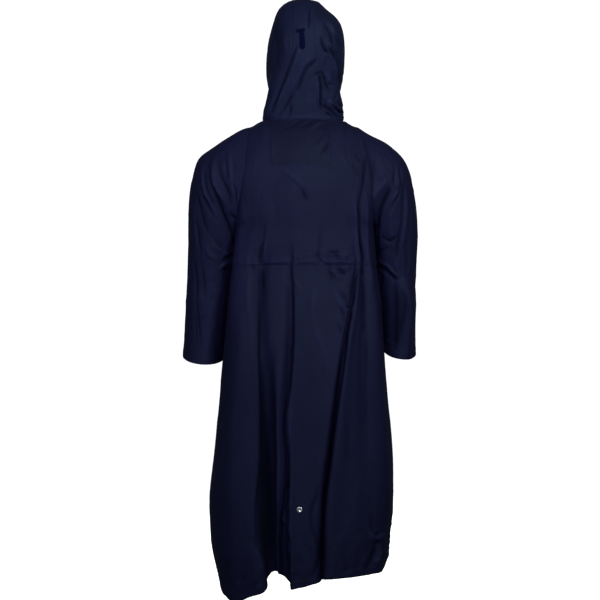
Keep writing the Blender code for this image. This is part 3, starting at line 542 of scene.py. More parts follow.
class Surface:
    """A smooth surface through one solid's outer side.

    Rows and columns are those of the solid's grid and may lie between its own. It reads five
    numbers at each: x, y, z, the length along the row and the length along the column.
    """

    WRAP = 4

    def __init__(self, node):
        self.node = node
        self.ring = PANELS[node][2] == RING
        grid = grid_of(node, self.ring)
        self.rows, self.columns = grid.shape[0] - 1, grid.shape[1] - (0 if self.ring else 1)
        if self.ring:
            grid = np.concatenate([grid, grid[:, :1]], axis=1)
        across, along = self.lengths(grid, 1), self.lengths(grid, 0)
        grid = np.concatenate([grid, across[..., None], along[..., None]], axis=-1)
        first = 0
        if self.ring:
            first = self.WRAP
            before, after = grid[:, -1 - first : -1].copy(), grid[:, 1 : first + 1].copy()
            round_it = grid[:, -1:, 3]
            before[..., 3] -= round_it
            after[..., 3] += round_it
            grid = np.concatenate([before, grid, after], axis=1)
        self.grid = grid
        self.row_places = grid[..., 4].mean(axis=1)
        self.column_places = grid[..., 3].mean(axis=0)
        self.first = first

    @staticmethod
    def lengths(grid, axis):
        """The length of the cloth up to each point along one axis of a grid."""
        steps = np.linalg.norm(np.diff(grid, axis=axis), axis=-1)
        start = np.zeros_like(np.take(steps, [0], axis=axis))
        return np.concatenate([start, np.cumsum(steps, axis=axis)], axis=axis)

    def read(self, rows, columns):
        """The surface at every pair of the given rows and columns."""
        index = np.arange(self.grid.shape[1]) - self.first
        down = extended(rows, np.arange(self.rows + 1), self.row_places)
        side = extended(columns, index, self.column_places)
        lines = spline(self.row_places, self.grid, down)
        return spline(self.column_places, lines.swapaxes(0, 1), side).swapaxes(0, 1)

    def places(self, axis, step):
        """Rows (axis 0) or columns (axis 1) about a step apart, closer together at the borders."""
        if axis:
            known = self.column_places[self.first : self.first + self.columns + 1]
        else:
            known = self.row_places
        length = known[-1] - known[0]
        if axis and self.ring:
            distance = np.linspace(0, length, round(length / step), endpoint=False)
        else:
            starts, ends = PANELS[self.node][2 * axis : 2 * axis + 2]
            edge = np.arange(0, BAND, BAND_STEP)
            middle = np.linspace(BAND, length - BAND, round((length - 2 * BAND) / step))
            if not axis and self.node in CLOSER_ROWS:
                middle = self.crowded(middle)
            distance = np.concatenate([edge, middle, length - edge[::-1]])
            if starts == SEAM:
                distance = np.append(-TUCK, distance)
            if ends == SEAM:
                distance = np.append(distance, length + TUCK)
        return extended(distance + known[0], known, np.arange(len(known)))

    def crowded(self, even):
        """The same number of places, closer together at the heights that the table gives."""
        samples = 4000
        fine = np.linspace(even[0], even[-1], samples)
        known = self.row_places - self.row_places[0]
        heights = np.interp(fine, known, self.grid[..., 2].mean(axis=1))
        weight = np.ones_like(fine)
        for height, spread, more in CLOSER_ROWS[self.node]:
            weight += more * np.exp(-(((heights / MM - height) / spread) ** 2))
        total = np.cumsum(weight)
        return np.interp(np.linspace(total[0], total[-1], len(even)), total, fine)


def extended(values, known, results):
    """Straight lines through known results, carried on past both ends."""
    values = np.asarray(values, float)
    result = np.interp(values, known, results)
    low = (results[1] - results[0]) / (known[1] - known[0])
    high = (results[-1] - results[-2]) / (known[-1] - known[-2])
    result += np.minimum(values - known[0], 0) * low
    return result + np.maximum(values - known[-1], 0) * high


def normals_of(points, ring):
    """The outward direction at each point of a grid."""
    if ring:
        wrapped = np.concatenate([points[:, -1:], points, points[:, :1]], axis=1)
        across = np.gradient(wrapped, axis=1)[:, 1:-1]
    else:
        across = np.gradient(points, axis=1)
    normal = np.cross(across, np.gradient(points, axis=0))
    return normal / np.linalg.norm(normal, axis=-1, keepdims=True)


# What is laid on the surface


def crease_height(x, z, right, left, line):
    """How high one crease stands at each point, in millimetres."""
    line = np.array([(*point, 0)[:3] for point in line], float)
    spread = 3 * max(right, left)
    low, high = line[:, :2].min(axis=0) - spread, line[:, :2].max(axis=0) + spread
    height = np.zeros_like(x)
    near = (x > low[0]) & (x < high[0]) & (z > low[1]) & (z < high[1])
    if not near.any():
        return height
    along = np.append(0, np.cumsum(np.linalg.norm(np.diff(line[:, :2], axis=0), axis=1)))
    line = spline(along, line, np.linspace(0, along[-1], 4 * len(line)))
    start, way = line[:-1, :2], np.diff(line[:, :2], axis=0)
    point = np.stack([x[near], z[near]], axis=-1)[:, None] - start
    share = np.clip((point * way).sum(axis=-1) / (way**2).sum(axis=-1), 0, 1)
    off = point - share[..., None] * way
    distance = np.linalg.norm(off, axis=-1)
    best = distance.argmin(axis=1)[:, None]
    distance, share = (np.take_along_axis(a, best, axis=1)[:, 0] for a in (distance, share))
    best = best[:, 0]
    off = off[np.arange(len(best)), best]
    side = way[best, 0] * off[:, 1] - way[best, 1] * off[:, 0]
    reach = np.where(side > 0, left, right)
    reach = np.where(reach < BROAD_FOLD, CREASE_SHARPNESS * reach, reach)
    size = line[best, 2] + share * (line[best + 1, 2] - line[best, 2])
    # A narrow crease is sharp along its line, and a broad one round.
    crispness = 1.1 + 0.7 * ease((reach - 8) / 10)
    height[near] = size * np.exp(-((distance / reach) ** crispness))
    return height


def ripples(points, seed, length, stretch):
    """An uneven field between about -2 and 2, the same on every panel, made of random waves."""
    waves = 26
    random = np.random.default_rng(seed)
    way = random.normal(size=(waves, 3)) * (1, 1, 1 / stretch)
    way *= 2 * np.pi / length
    phase = random.uniform(0, 2 * np.pi, waves)
    return np.cos(points @ way.T / math.sqrt(3) + phase).sum(axis=-1) * math.sqrt(2 / waves)


def crumples(points, seed, length, stretch):
    """Crisp ridges that come and go along the lines where a field crosses zero, from 0 to 1."""
    ridge = np.exp(-np.abs(ripples(points, seed, length, stretch)) / 0.45)
    return ridge * ease((ripples(points, seed + 50, 1.5 * length, stretch) + 0.4) / 1.4)


def row_noise(length, seed, spacing):
    """A smooth uneven value along a seam, between -1 and 1."""
    count, start = 4096, 1000
    known = np.random.default_rng(seed).uniform(-1, 1, count)
    place = np.asarray(length) / spacing + start
    low = np.floor(place).astype(int)
    share = ease(place - low)
    return known[low % count] * (1 - share) + known[(low + 1) % count] * share


def waist_gathers():
    """Short uneven pleats that the elastic draws in, close and deep at the right of the back."""
    random = np.random.default_rng(11)
    low, high = (corner[2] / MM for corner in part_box("waist_casing"))
    middle = (low + high) / 2
    pleats = []
    x, last = 168.0, -178
    while x > last:
        strong = -142 < x < -48
        size = random.uniform(1.0, 2.2) * (1.6 if strong else 0.55)
        up, down = random.uniform(6, 24, 2) * (1.3 if strong else 1)
        lean = random.uniform(-0.25, 0.25, 2)
        right, left = random.uniform(2.6, 4.5), random.uniform(2.6, 4.5)
        top, foot = (x + lean[0] * up, middle + up), (x + lean[1] * down, middle - down)
        pleats.append((right, left, top, (x, middle + 4, size), (x, middle - 4, size), foot))
        x -= random.uniform(6, 11) if strong else random.uniform(9, 19)
    return tuple(pleats)


def waist_puckers():
    """One short steep crease for each pucker in the table."""
    rows = ((2.5, 2.5, (x + 1, z + 7), (x - 1, z, high), (x, z - 7)) for x, z, high in WAIST_PUCKERS)
    return tuple(rows)


# The creases of each panel: 1 for those on its back, and -1 for those on its front.
CREASES = {
    "back": {1: BACK_CREASES + waist_puckers() + waist_gathers()},
    "front": {-1: FRONT_CREASES},
    "sleeve_left": {1: LEFT_SLEEVE_BACK, -1: LEFT_SLEEVE_FRONT},
    "sleeve_right": {1: RIGHT_SLEEVE_BACK, -1: RIGHT_SLEEVE_FRONT},
    "hood_left": {1: HOOD_BACK, -1: HOOD_FRONT},
    "hood_right": {1: HOOD_BACK, -1: HOOD_FRONT},
    "hood_centre": {1: HOOD_BACK},
}


def dressed(surface, rows, columns):
    """The finished cloth at the given rows and columns of its surface.

    Returns the points, the lengths across and along for the weave, how far each point lies from
    the first and last row and from the first and last column, and how high its folds stand, as the
    height that paints shade and highlight into the cloth's colour.
    """
    node = surface.node
    read = surface.read(rows, columns)
    points, across, along = drawn_up(read[..., :3]), read[..., 3], read[..., 4]
    normals = normals_of(points, surface.ring)
    end_row = surface.read([surface.rows], columns)[..., 4]
    end_column = surface.read(rows, [surface.columns])[..., 3]
    distances = (along, end_row - along, across, end_column - across)
    x, z = points[..., 0] / MM, points[..., 2] / MM
    height = undulation(points)
    # The height that paints shade and highlight into the colour: a share of the soft unevenness, the
    # narrow creases and the grooves of the seams.
    folds = SOFT_PAINTED_SHADE * height
    for side, creases in CREASES[node].items():
        facing = ease((normals[..., 1] * side + 0.1) / 0.3)
        for right, left, *line in creases:
            rise = facing * crease_height(x, z, right, left, line)
            height += rise
            if min(right, left) < BROAD_FOLD:
                folds += rise
    # The creases die out towards a seam, but they cross the seams between the hood's panels.
    for border, distance in enumerate(distances):
        if PANELS[node][border] == SEAM and (border == 0 or "hood" not in node):
            height *= ease((distance + MM) / SEAM_CALM)
    for border, (kind, distance) in enumerate(zip(PANELS[node], distances, strict=True)):
        run = across if border < 2 else along
        if kind == SEAM:
            seam = seam_height(distance, run, 31 * border + len(node))
            height += seam
            folds += GROOVE_PAINTED_SHADE * np.minimum(seam, 0)
        elif kind == HEM:
            height += hem_height(distance, run, 17 * border + len(node))
    return points + MM * height[..., None] * normals, across, along, distances, folds


def drawn_up(points):
    """The cloth drawn up a little at both sides of the neck."""
    x, z = np.abs(points[..., 0]) / MM, points[..., 2] / MM
    lift = NECK_LIFT * np.exp(-(((x - 108) / 18) ** 2) - ((z + 18) / 26) ** 2)
    return points + lift[..., None] * (0, 0, 1)


def wrinkledness(points):
    """How crumpled the cloth is at each point, from the table of crumpled places."""
    x, z = points[..., 0] / MM, points[..., 2] / MM
    amount = np.full_like(x, CALM_CLOTH)
    for place_x, place_z, reach, more in CRUMPLED:
        amount += more * np.exp(-((x - place_x) ** 2 + (z - place_z) ** 2) / reach**2)
    return amount


def undulation(points):
    """The soft unevenness of the whole cloth, in millimetres."""
    waves, coarse, tiny = (
        sum(height * field(points, *layer) for height, *layer in layers)
        for field, layers in ((ripples, WAVES), (crumples, COARSE_CRUMPLES), (crumples, TINY_CRUMPLES))
    )
    amount = wrinkledness(points)
    return waves + np.minimum(amount, 1) * coarse + np.maximum(amount - 0.5, 0) * tiny


def seam_height(distance, run, seed):
    """The groove of a seam, the doubled cloth beside it, and its small puckers."""
    groove = -0.6 * np.exp(-((distance / (1.5 * MM)) ** 2))
    ridge = 0.25 * ease((SEAM_ALLOWANCE + 1.5 * MM - distance) / (2.5 * MM))
    pucker = row_noise(run, seed, 8 * MM) * np.exp(-(((distance - 5 * MM) / (6 * MM)) ** 2))
    return groove + ridge * ease(distance / (2 * MM)) + 0.3 * pucker


def hem_height(distance, run, seed):
    """The doubled cloth of a hem and the small waves of its edge."""
    double = 0.7 * ease((HEM_WIDTH + 1.5 * MM - distance) / (2.5 * MM))
    waves = row_noise(run, seed, 30 * MM) * np.exp(-((distance / (26 * MM)) ** 2))
    pucker = row_noise(run, seed + 5, 9 * MM) * np.exp(-(((distance - HEM_WIDTH) / (9 * MM)) ** 2))
    return double + 1.2 * waves + 0.5 * pucker


# Meshes and panels


def shell_mesh(name, outer, inner, across, along, folds, ring=False):
    """A closed mesh between two grids of points.

    The lengths across and along are its UV map, for the weave, and it carries the folds' height,
    from which the painted shade and highlight of its colour are made.
    """
    count = outer.shape[0] * outer.shape[1]
    index = np.arange(count).reshape(outer.shape[:2])
    place = np.stack([across, along], axis=-1)
    if ring:
        index = np.concatenate([index, index[:, :1]], axis=1)
        last = np.stack([2 * across[:, -1] - across[:, -2], along[:, 0]], axis=-1)
        place = np.concatenate([place, last[:, None]], axis=1)

    def corners(grid):
        return np.stack([grid[:-1, :-1], grid[:-1, 1:], grid[1:, 1:], grid[1:, :-1]], axis=2)

    quads, spots = corners(index).reshape(-1, 4), corners(place).reshape(-1, 4, 2)
    faces, marks = [quads, quads[:, ::-1] + count], [spots, spots[:, ::-1]]
    rims = [(index[0], place[0]), (index[-1, ::-1], place[-1, ::-1])]
    if not ring:
        rims += [(index[:, -1], place[:, -1]), (index[::-1, 0], place[::-1, 0])]
    for line, mark in rims:
        a, b = line[:-1], line[1:]
        faces.append(np.stack([b, a, a + count, b + count], axis=-1))
        marks.append(np.stack([mark[1:], mark[:-1], mark[:-1], mark[1:]], axis=1))
    points = np.concatenate([outer.reshape(-1, 3), inner.reshape(-1, 3)])
    mesh = face_mesh(name, points, np.concatenate(faces), np.concatenate(marks))
    height = mesh.attributes.new(FOLD_MAP, "FLOAT", "POINT")
    height.data.foreach_set("value", np.tile(folds.ravel(), 2))
    return mesh


def face_mesh(name, points, faces, marks):
    """A smooth mesh from points, four-cornered faces and the UV marks of their corners."""
    mesh = bpy.data.meshes.new(name)
    mesh.vertices.add(len(points))
    mesh.vertices.foreach_set("co", points.ravel())
    mesh.loops.add(faces.size)
    mesh.loops.foreach_set("vertex_index", faces.ravel())
    mesh.polygons.add(len(faces))
    mesh.polygons.foreach_set("loop_start", np.arange(0, faces.size, faces.shape[1]))
    mesh.uv_layers.new(name=WEAVE_MAP).data.foreach_set("uv", marks.ravel())
    mesh.update(calc_edges=True)
    mesh.validate()
    mesh.shade_smooth()
    mesh.set_sharp_from_angle(angle=math.radians(60))
    return mesh


def add_piece(name, mesh, material, replaces=()):
    """Links a finished mesh, parents it to the body it rides on, and hides the parts it stands for."""
    piece = bpy.data.objects.new(name, mesh)
    bpy.context.scene.collection.objects.link(piece)
    mesh.materials.append(material)
    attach(piece, BODY)
    if replaces:
        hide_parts(*replaces)
    return piece


class Panel:
    """A panel's finished cloth, which everything sewn on it follows."""

    made = {}

    def __init__(self, node):
        self.node = node
        surface = Surface(node)
        rows, columns = (surface.places(axis, step * MM) for axis, step in enumerate(STEPS[node]))
        self.ring = surface.ring
        self.base = surface.read(rows, columns)[..., :3]
        cloth = dressed(surface, rows, columns)
        self.points, self.across, self.along, self.distances, self.folds = cloth
        self.normals = normals_of(self.points, self.ring)

    @classmethod
    def of(cls, node):
        """The one panel of this name, made when it is first asked for."""
        if node not in cls.made:
            cls.made[node] = cls(node)
        return cls.made[node]

    def at(self, field, rows, columns):
        """A field of this panel at places between its samples."""
        i, j = np.floor(rows).astype(int), np.floor(columns).astype(int)
        last_row, last_column = field.shape[0] - 1, field.shape[1] - 1
        total = 0
        for step, share in enumerate(shares(rows - i), -1):
            row = np.clip(i + step, 0, last_row)
            for side_step, side_share in enumerate(shares(columns - j), -1):
                column = j + side_step
                if self.ring:
                    column = column % (last_column + 1)
                else:
                    column = np.clip(column, 0, last_column)
                total = total + (share * side_share)[..., None] * field[row, column]
        return total

    def nearest(self, targets):
        """Where on this panel each target lies, as its row and column among the samples."""
        thin, rounds = 4, 8
        known = self.base[::thin, ::thin]
        flat = known.reshape(-1, 3)
        wanted = targets.reshape(-1, 3)
        best = np.array([((flat - point) ** 2).sum(axis=1).argmin() for point in wanted])
        row, column = np.unravel_index(best, known.shape[:2])
        row, column = (thin * row).astype(float), (thin * column).astype(float)
        for _ in range(rounds):
            point = self.at(self.base, row, column)
            down = self.at(self.base, row + 0.5, column) - self.at(self.base, row - 0.5, column)
            side = self.at(self.base, row, column + 0.5) - self.at(self.base, row, column - 0.5)
            off = wanted - point
            a, b, c = (down**2).sum(-1), (down * side).sum(-1), (side**2).sum(-1)
            u, v = (down * off).sum(-1), (side * off).sum(-1)
            scale = a * c - b * b + 1e-18
            row = row + np.clip((c * u - b * v) / scale, -3, 3)
            column = column + np.clip((a * v - b * u) / scale, -3, 3)
            row = np.clip(row, 0, self.base.shape[0] - 1)
            if not self.ring:
                column = np.clip(column, 0, self.base.shape[1] - 1)
        shape = targets.shape[:-1]
        return row.reshape(shape), column.reshape(shape)

    def border_line(self, border, distance):
        """The places at a distance from border 0 to 3: first row, last row, first or last column."""
        field = self.distances[border]
        if border > 1:
            field = field.T
        if border % 2:
            field = field[::-1]
        count = len(field)
        found = np.array([np.interp(distance, line, np.arange(count)) for line in field.T])
        if border % 2:
            found = count - 1 - found
        other = np.arange(len(found), dtype=float)
        return (found, other) if border < 2 else (other, found)

    def build(self, thickness, material):
        """The panel's finished piece."""
        name = self.node + "_cloth"
        inner = self.points - thickness * self.normals
        mesh = shell_mesh(name, self.points, inner, self.across, self.along, self.folds, self.ring)
        return add_piece(name, mesh, material, [self.node])


def shares(t):
    """How much each of four samples counts at a share t of the way from the second to the third."""
    return (
        (-t + 2 * t**2 - t**3) / 2,
        (2 - 5 * t**2 + 3 * t**3) / 2,
        (t + 4 * t**2 - 3 * t**3) / 2,
        (-(t**2) + t**3) / 2,
    )


def laid_on(parent, targets):
    """A panel's finished cloth where the targets lie: its points, normals and folds' height."""
    panel = Panel.of(parent)
    place = panel.nearest(targets)
    points, normals = panel.at(panel.points, *place), panel.at(panel.normals, *place)
    normals /= np.linalg.norm(normals, axis=-1, keepdims=True)
    return points, normals, panel.at(panel.folds[..., None], *place)[..., 0]


def sewn_grid(node, parent, down, side):
    """A sewn-on piece's own grid, laid on its parent's finished cloth.

    Returns the points and normals there, the lengths across and along, and the folds' height.
    """
    grid = grid_of(node, False)
    across, along = Surface.lengths(grid, 1), Surface.lengths(grid, 0)
    rows, columns = along.mean(axis=1), across.mean(axis=0)
    fine_rows = np.linspace(0, rows[-1], max(3, round(rows[-1] / down) + 1))
    fine_columns = np.linspace(0, columns[-1], max(3, round(columns[-1] / side) + 1))
    if len(rows) > 2:
        lines = spline(rows, grid, fine_rows)
    else:
        lines = grid[0] + (fine_rows / rows[-1])[:, None, None] * (grid[1] - grid[0])
    targets = spline(columns, lines.swapaxes(0, 1), fine_columns).swapaxes(0, 1)
    points, normals, folds = laid_on(parent, targets)
    across, along = np.meshgrid(fine_columns, fine_rows)
    return points, normals, across, along, folds


def sewn_on(node, parent, step, lift, material):
    """A thin piece stitched flat on its parent's cloth, with its edges pressed down."""
    name = node + "_cloth"
    points, normals, across, along, folds = sewn_grid(node, parent, step, step)
    edge = np.minimum.reduce([across, across.max() - across, along, along.max() - along])
    height = lift * (0.35 + 0.65 * ease(edge / (2.5 * step)))
    outer = points + height[..., None] * normals
    inner = points + 0.1 * lift * normals
    mesh = shell_mesh(name, outer, inner, across, along, folds)
    return add_piece(name, mesh, material, [node])


# Stitches and node trees


def stitch_lines(lift):
    """Guide lines of every stitch row, as arrays of points and whether each line is closed."""
    lines = []
    for node, borders in STITCHED.items():
        panel = Panel.of(node)
        for border, distance in borders.items():
            place = panel.border_line(border, distance * MM)
            points = panel.at(panel.points, *place) + lift * panel.at(panel.normals, *place)
            lines.append((points, panel.ring))
    points, normals, *_ = sewn_grid("waist_casing", "back", 1.5 * MM, 3 * MM)
    count = len(points) - 1
    for row in (round(0.12 * count), round(0.88 * count)):
        lines.append((points[row] + (CASING_LIFT + lift) * normals[row], False))
    points, normals, *_ = sewn_grid("neck_patch", "back", 3 * MM, 3 * MM)
    points = points + (PATCH_LIFT + lift) * normals
    for inset in (1, 3):
        sides = points[inset:, inset], points[inset, inset:-inset], points[inset:, -1 - inset]
        lines += [(line, False) for line in sides]
    return lines


def guide_object(lines):
    """One mesh of loose edges that follows the given lines."""
    points, edges = [], []
    for line, closed in lines:
        first = sum(len(part) for part in points)
        index = np.arange(first, first + len(line))
        points.append(line)
        edges.append(np.stack([index[:-1], index[1:]], axis=-1))
        if closed:
            edges.append(np.array([[index[-1], first]]))
    mesh = bpy.data.meshes.new("stitch_guides")
    mesh.from_pydata(np.concatenate(points).tolist(), np.concatenate(edges).tolist(), [])
    guide = bpy.data.objects.new("stitch_guides", mesh)
    bpy.context.scene.collection.objects.link(guide)
    return guide


def add_node(tree, kind, inputs=None, **settings):
    """A new node with its settings. Each input is a number or comes from another node's output."""
    node = tree.nodes.new(kind)
    for name, value in settings.items():
        setattr(node, name, value)
    for name, value in (inputs or {}).items():
        if isinstance(value, bpy.types.NodeSocket):
            tree.links.new(value, node.inputs[name])
        else:
            node.inputs[name].default_value = value
    return node


def stitch_tree():
    """Lays a stitch, one small rounded bar, at even steps along every guide line."""
    tree = bpy.data.node_groups.new("Poncho stitches", "GeometryNodeTree")
    for name, way, kind in (
        ("Geometry", "INPUT", "Geometry"),
        ("Spacing", "INPUT", "Float"),
        ("Length", "INPUT", "Float"),
        ("Width", "INPUT", "Float"),
        ("Thread", "INPUT", "Material"),
        ("Geometry", "OUTPUT", "Geometry"),
    ):
        tree.interface.new_socket(name, in_out=way, socket_type="NodeSocket" + kind)
    given = add_node(tree, "NodeGroupInput").outputs
    width, length = given["Width"], given["Length"]
    curve = add_node(tree, "GeometryNodeMeshToCurve", {"Mesh": given["Geometry"]})
    path = {"Curve": curve.outputs["Curve"], "Length": given["Spacing"]}
    places = add_node(tree, "GeometryNodeCurveToPoints", path, mode="LENGTH").outputs
    ball = add_node(tree, "GeometryNodeMeshIcoSphere", {"Radius": 0.5, "Subdivisions": 1})
    size = add_node(tree, "ShaderNodeCombineXYZ", {"X": width, "Y": width, "Z": length})
    limits = {"Min": 0.85, "Max": 1.1, "Seed": 7}
    uneven = add_node(tree, "FunctionNodeRandomValue", limits, data_type="FLOAT")
    scaling = {0: size.outputs["Vector"], "Scale": uneven.outputs[1]}
    scale = add_node(tree, "ShaderNodeVectorMath", scaling, operation="SCALE")
    laying = {
        "Points": places["Points"],
        "Instance": ball.outputs["Mesh"],
        "Rotation": places["Rotation"],
        "Scale": scale.outputs["Vector"],
    }
    shape = add_node(tree, "GeometryNodeInstanceOnPoints", laying).outputs["Instances"]
    for kind in ("RealizeInstances", "SetShadeSmooth"):
        shape = add_node(tree, "GeometryNode" + kind, {"Geometry": shape}).outputs["Geometry"]
    painting = {"Geometry": shape, "Material": given["Thread"]}
    shape = add_node(tree, "GeometryNodeSetMaterial", painting).outputs["Geometry"]
    add_node(tree, "NodeGroupOutput", {"Geometry": shape})
    return tree


def grown(guide, tree, name, **inputs):
    """The plain mesh that a node tree makes on a guide, which is then removed."""
    modifier = guide.modifiers.new(name, "NODES")
    modifier.node_group = tree
    for item in tree.interface.items_tree:
        if item.in_out == "INPUT" and item.name in inputs:
            modifier[item.identifier] = inputs[item.name]
    bpy.context.view_layer.update()
    graph = bpy.context.evaluated_depsgraph_get()
    mesh = bpy.data.meshes.new_from_object(guide.evaluated_get(graph))
    mesh.name = name
    guide.modifiers.remove(modifier)
    bpy.data.objects.remove(guide)
    return mesh


# Finishes


def new_material(name, colour, **values):
    """A material, its node tree and its shader's inputs. Values are named with _ for a space."""
    material = bpy.data.materials.new(name)
    material.use_nodes = True
    shader = material.node_tree.nodes["Principled BSDF"].inputs
    shader["Base Color"].default_value = (*colour, 1)
    for key, value in values.items():
        shader[key.replace("_", " ")].default_value = value
    return material, material.node_tree, shader


def object_place(tree):
    """The place of a point on the garment, in metres."""
    return add_node(tree, "ShaderNodeTexCoord").outputs["Object"]


def noise(tree, place, scale, detail, stretch=(1, 1, 1), kind="FBM"):
    """The value of a noise texture, with a scale in waves a metre."""
    mapping = add_node(tree, "ShaderNodeMapping", {"Vector": place, "Scale": stretch})
    inputs = {"Vector": mapping.outputs["Vector"], "Scale": scale, "Detail": detail}
    return add_node(tree, "ShaderNodeTexNoise", inputs, noise_type=kind).outputs["Fac"]


def weave_height(tree, scale):
    """Crossed threads that follow the lengths in the UV map."""
    place = add_node(tree, "ShaderNodeUVMap", uv_map=WEAVE_MAP).outputs["UV"]
    inputs = {"Vector": place, "Scale": scale}
    threads = [add_node(tree, "ShaderNodeTexWave", inputs, bands_direction=way) for way in "XY"]
    both = {socket: thread.outputs["Fac"] for socket, thread in enumerate(threads)}
    return add_node(tree, "ShaderNodeMath", both, operation="MULTIPLY").outputs["Value"]


def bumped(tree, height, distance, strength, under=None):
    """The direction of a surface with a relief on it, and maybe another relief under that."""
    inputs = {"Height": height, "Distance": distance, "Strength": strength}
    if under:
        inputs["Normal"] = under
    return add_node(tree, "ShaderNodeBump", inputs).outputs["Normal"]


def blended(tree, factor, dark, light):
    """A colour between dark and light."""
    ramp = add_node(tree, "ShaderNodeValToRGB", {"Fac": factor})
    for index, (position, colour) in enumerate(((0.3, dark), (0.7, light))):
        ramp.color_ramp.elements[index].position = position
        ramp.color_ramp.elements[index].color = (*colour, 1)
    return ramp.outputs["Color"]


def ranged(tree, value, low, high, start=0, end=1):
    """A value between start and end, brought to between low and high."""
    inputs = {"Value": value, "From Min": start, "From Max": end, "To Min": low, "To Max": high}
    return add_node(tree, "ShaderNodeMapRange", inputs).outputs["Result"]


def scaled(tree, value, factor, added):
    """A value times a factor, plus a number or another value, kept between 0 and 1."""
    settings = {"operation": "MULTIPLY_ADD", "use_clamp": True}
    inputs = {0: value, 1: factor, 2: added}
    return add_node(tree, "ShaderNodeMath", inputs, **settings).outputs["Value"]


def coated_cloth(name, colour, roughness):
    """Thin proofed cloth: a soft even gloss, fine close wrinkles and a very fine weave, with painted
    shade in the troughs of its folds and a painted highlight on their ridges.
    """
    tint = (0.62, 1, 0.86, 1)
    material, tree, shader = new_material(name, colour, IOR=1.22, Specular_Tint=tint)
    place = object_place(tree)
    fold = add_node(tree, "ShaderNodeAttribute", attribute_name=FOLD_MAP).outputs["Fac"]
    # Painted shade and highlight: the folds' height darkens the colour in troughs, where shade falls, and
    # lightens it on ridges, where light falls, over a little random unevenness of colour.
    dark = [tone_and_painted_shade * value for tone_and_painted_shade, value in zip(TROUGH_PAINTED_SHADE, colour, strict=True)]
    light = [RIDGE_PAINTED_HIGHLIGHT * value for value in colour]
    tone_and_painted_shade = scaled(tree, noise(tree, place, 7, 3), 0.1, 0.53)
    tone_and_painted_shade = scaled(tree, fold, FOLD_PAINTED_SHADE, tone_and_painted_shade)
    tree.links.new(blended(tree, tone_and_painted_shade, dark, light), shader["Base Color"])
    uneven = ranged(tree, noise(tree, place, 30, 4), roughness - 0.06, roughness + 0.06)
    trough = ranged(tree, fold, 1, 0, -DULL_DEPTH, 0)
    tree.links.new(scaled(tree, trough, DULLNESS, uneven), shader["Roughness"])
    creasing = noise(tree, place, 45, 5, (1, 1, 0.3), "RIDGED_MULTIFRACTAL")
    normal = bumped(tree, creasing, 2.5 * MM, 0.5)
    normal = bumped(tree, noise(tree, place, 260, 3, (1, 1, 0.5)), 0.5 * MM, 0.4, normal)
    normal = bumped(tree, weave_height(tree, 520), 0.04 * MM, 0.3, normal)
    tree.links.new(normal, shader["Normal"])
    return material


# Trim


def tape_strip(node, parent, under, thickness, material, round_end):
    """A flat woven strip on its parent's cloth. A round end is at its lower end."""
    name = node + "_tape"
    grid = grid_of(node, False)
    low, high = grid[0], grid[-1]
    if low[:, 2].mean() > high[:, 2].mean():
        low, high = high[::-1], low[::-1]
    length = np.linalg.norm((high - low).mean(axis=0))
    half = np.linalg.norm(low[-1] - low[0]) / 2
    along = np.linspace(0, length, 40)
    width = np.ones_like(along)
    if round_end:
        end = half * (1 - np.cos(np.linspace(0.02, 1, 12) * np.pi / 2))
        along = np.concatenate([end, np.linspace(half, length, 24)[1:]])
        width = np.sqrt(1 - (1 - np.minimum(along / half, 1)) ** 2)
    across = np.linspace(-1, 1, 15)
    share = (along / length)[:, None, None]
    centre = ((1 - share) * (low[0] + low[-1]) + share * (high[0] + high[-1])) / 2
    reach = ((1 - share) * (low[-1] - low[0]) + share * (high[-1] - high[0])) / 2
    targets = centre + (width[:, None] * across)[..., None] * reach
    points, normals, _ = laid_on(parent, targets)
    height = under + thickness * (0.45 + 0.55 * ease((1 - np.abs(across)) / 0.2))
    outer = points + height[None, :, None] * normals
    inner = points + under * normals
    weave = np.meshgrid(across * half, along)
    mesh = shell_mesh(name, outer, inner, *weave, np.zeros(outer.shape[:2]))
    return add_piece(name, mesh, material, [node])


def turned_mesh(name, profile, centre, axis, segments):
    """A solid of revolution from (radius, height) pairs that start and end on the axis."""
    axis = axis / np.linalg.norm(axis)
    side = np.cross(axis, (0, 0, 1))
    side /= np.linalg.norm(side)
    up = np.cross(axis, side)
    angle = np.linspace(0, 2 * np.pi, segments, endpoint=False)
    ring = np.cos(angle)[:, None] * side + np.sin(angle)[:, None] * up
    middle = np.array(profile[1:-1])
    points = centre + middle[:, :1, None] * ring + middle[:, 1:, None] * axis
    ends = [centre + profile[end][1] * axis for end in (0, -1)]
    points = [*points.reshape(-1, 3).tolist(), *ends]
    index = np.arange(len(points) - 2).reshape(len(middle), segments)
    after = np.roll(index, -1, axis=1)
    faces = np.stack([index[:-1], index[1:], after[1:], after[:-1]], axis=-1).reshape(-1, 4).tolist()
    top, foot = len(points) - 2, len(points) - 1
    faces += [(top, a, b) for a, b in zip(index[0].tolist(), after[0].tolist())]
    faces += [(foot, b, a) for a, b in zip(index[-1].tolist(), after[-1].tolist())]
    mesh = bpy.data.meshes.new(name)
    mesh.from_pydata(points, [], faces)
    mesh.shade_smooth()
    mesh.set_sharp_from_angle(angle=math.radians(50))
    return mesh


# The stage


def soft_light(name, place, target, size, power, spread, glossy, colour):
    """A round soft light that the camera doesn't see."""
    light = bpy.data.lights.new(name, "AREA")
    light.color = colour
    light.spread = math.radians(spread)
    light.shape = "DISK"
    light.size = size
    light.energy = power
    holder = bpy.data.objects.new(name, light)
    holder.location = place
    way = Vector(target) - Vector(place)
    holder.rotation_euler = way.to_track_quat("-Z", "Y").to_euler()
    holder.visible_glossy = glossy
    holder.visible_camera = False
    bpy.context.scene.collection.objects.link(holder)


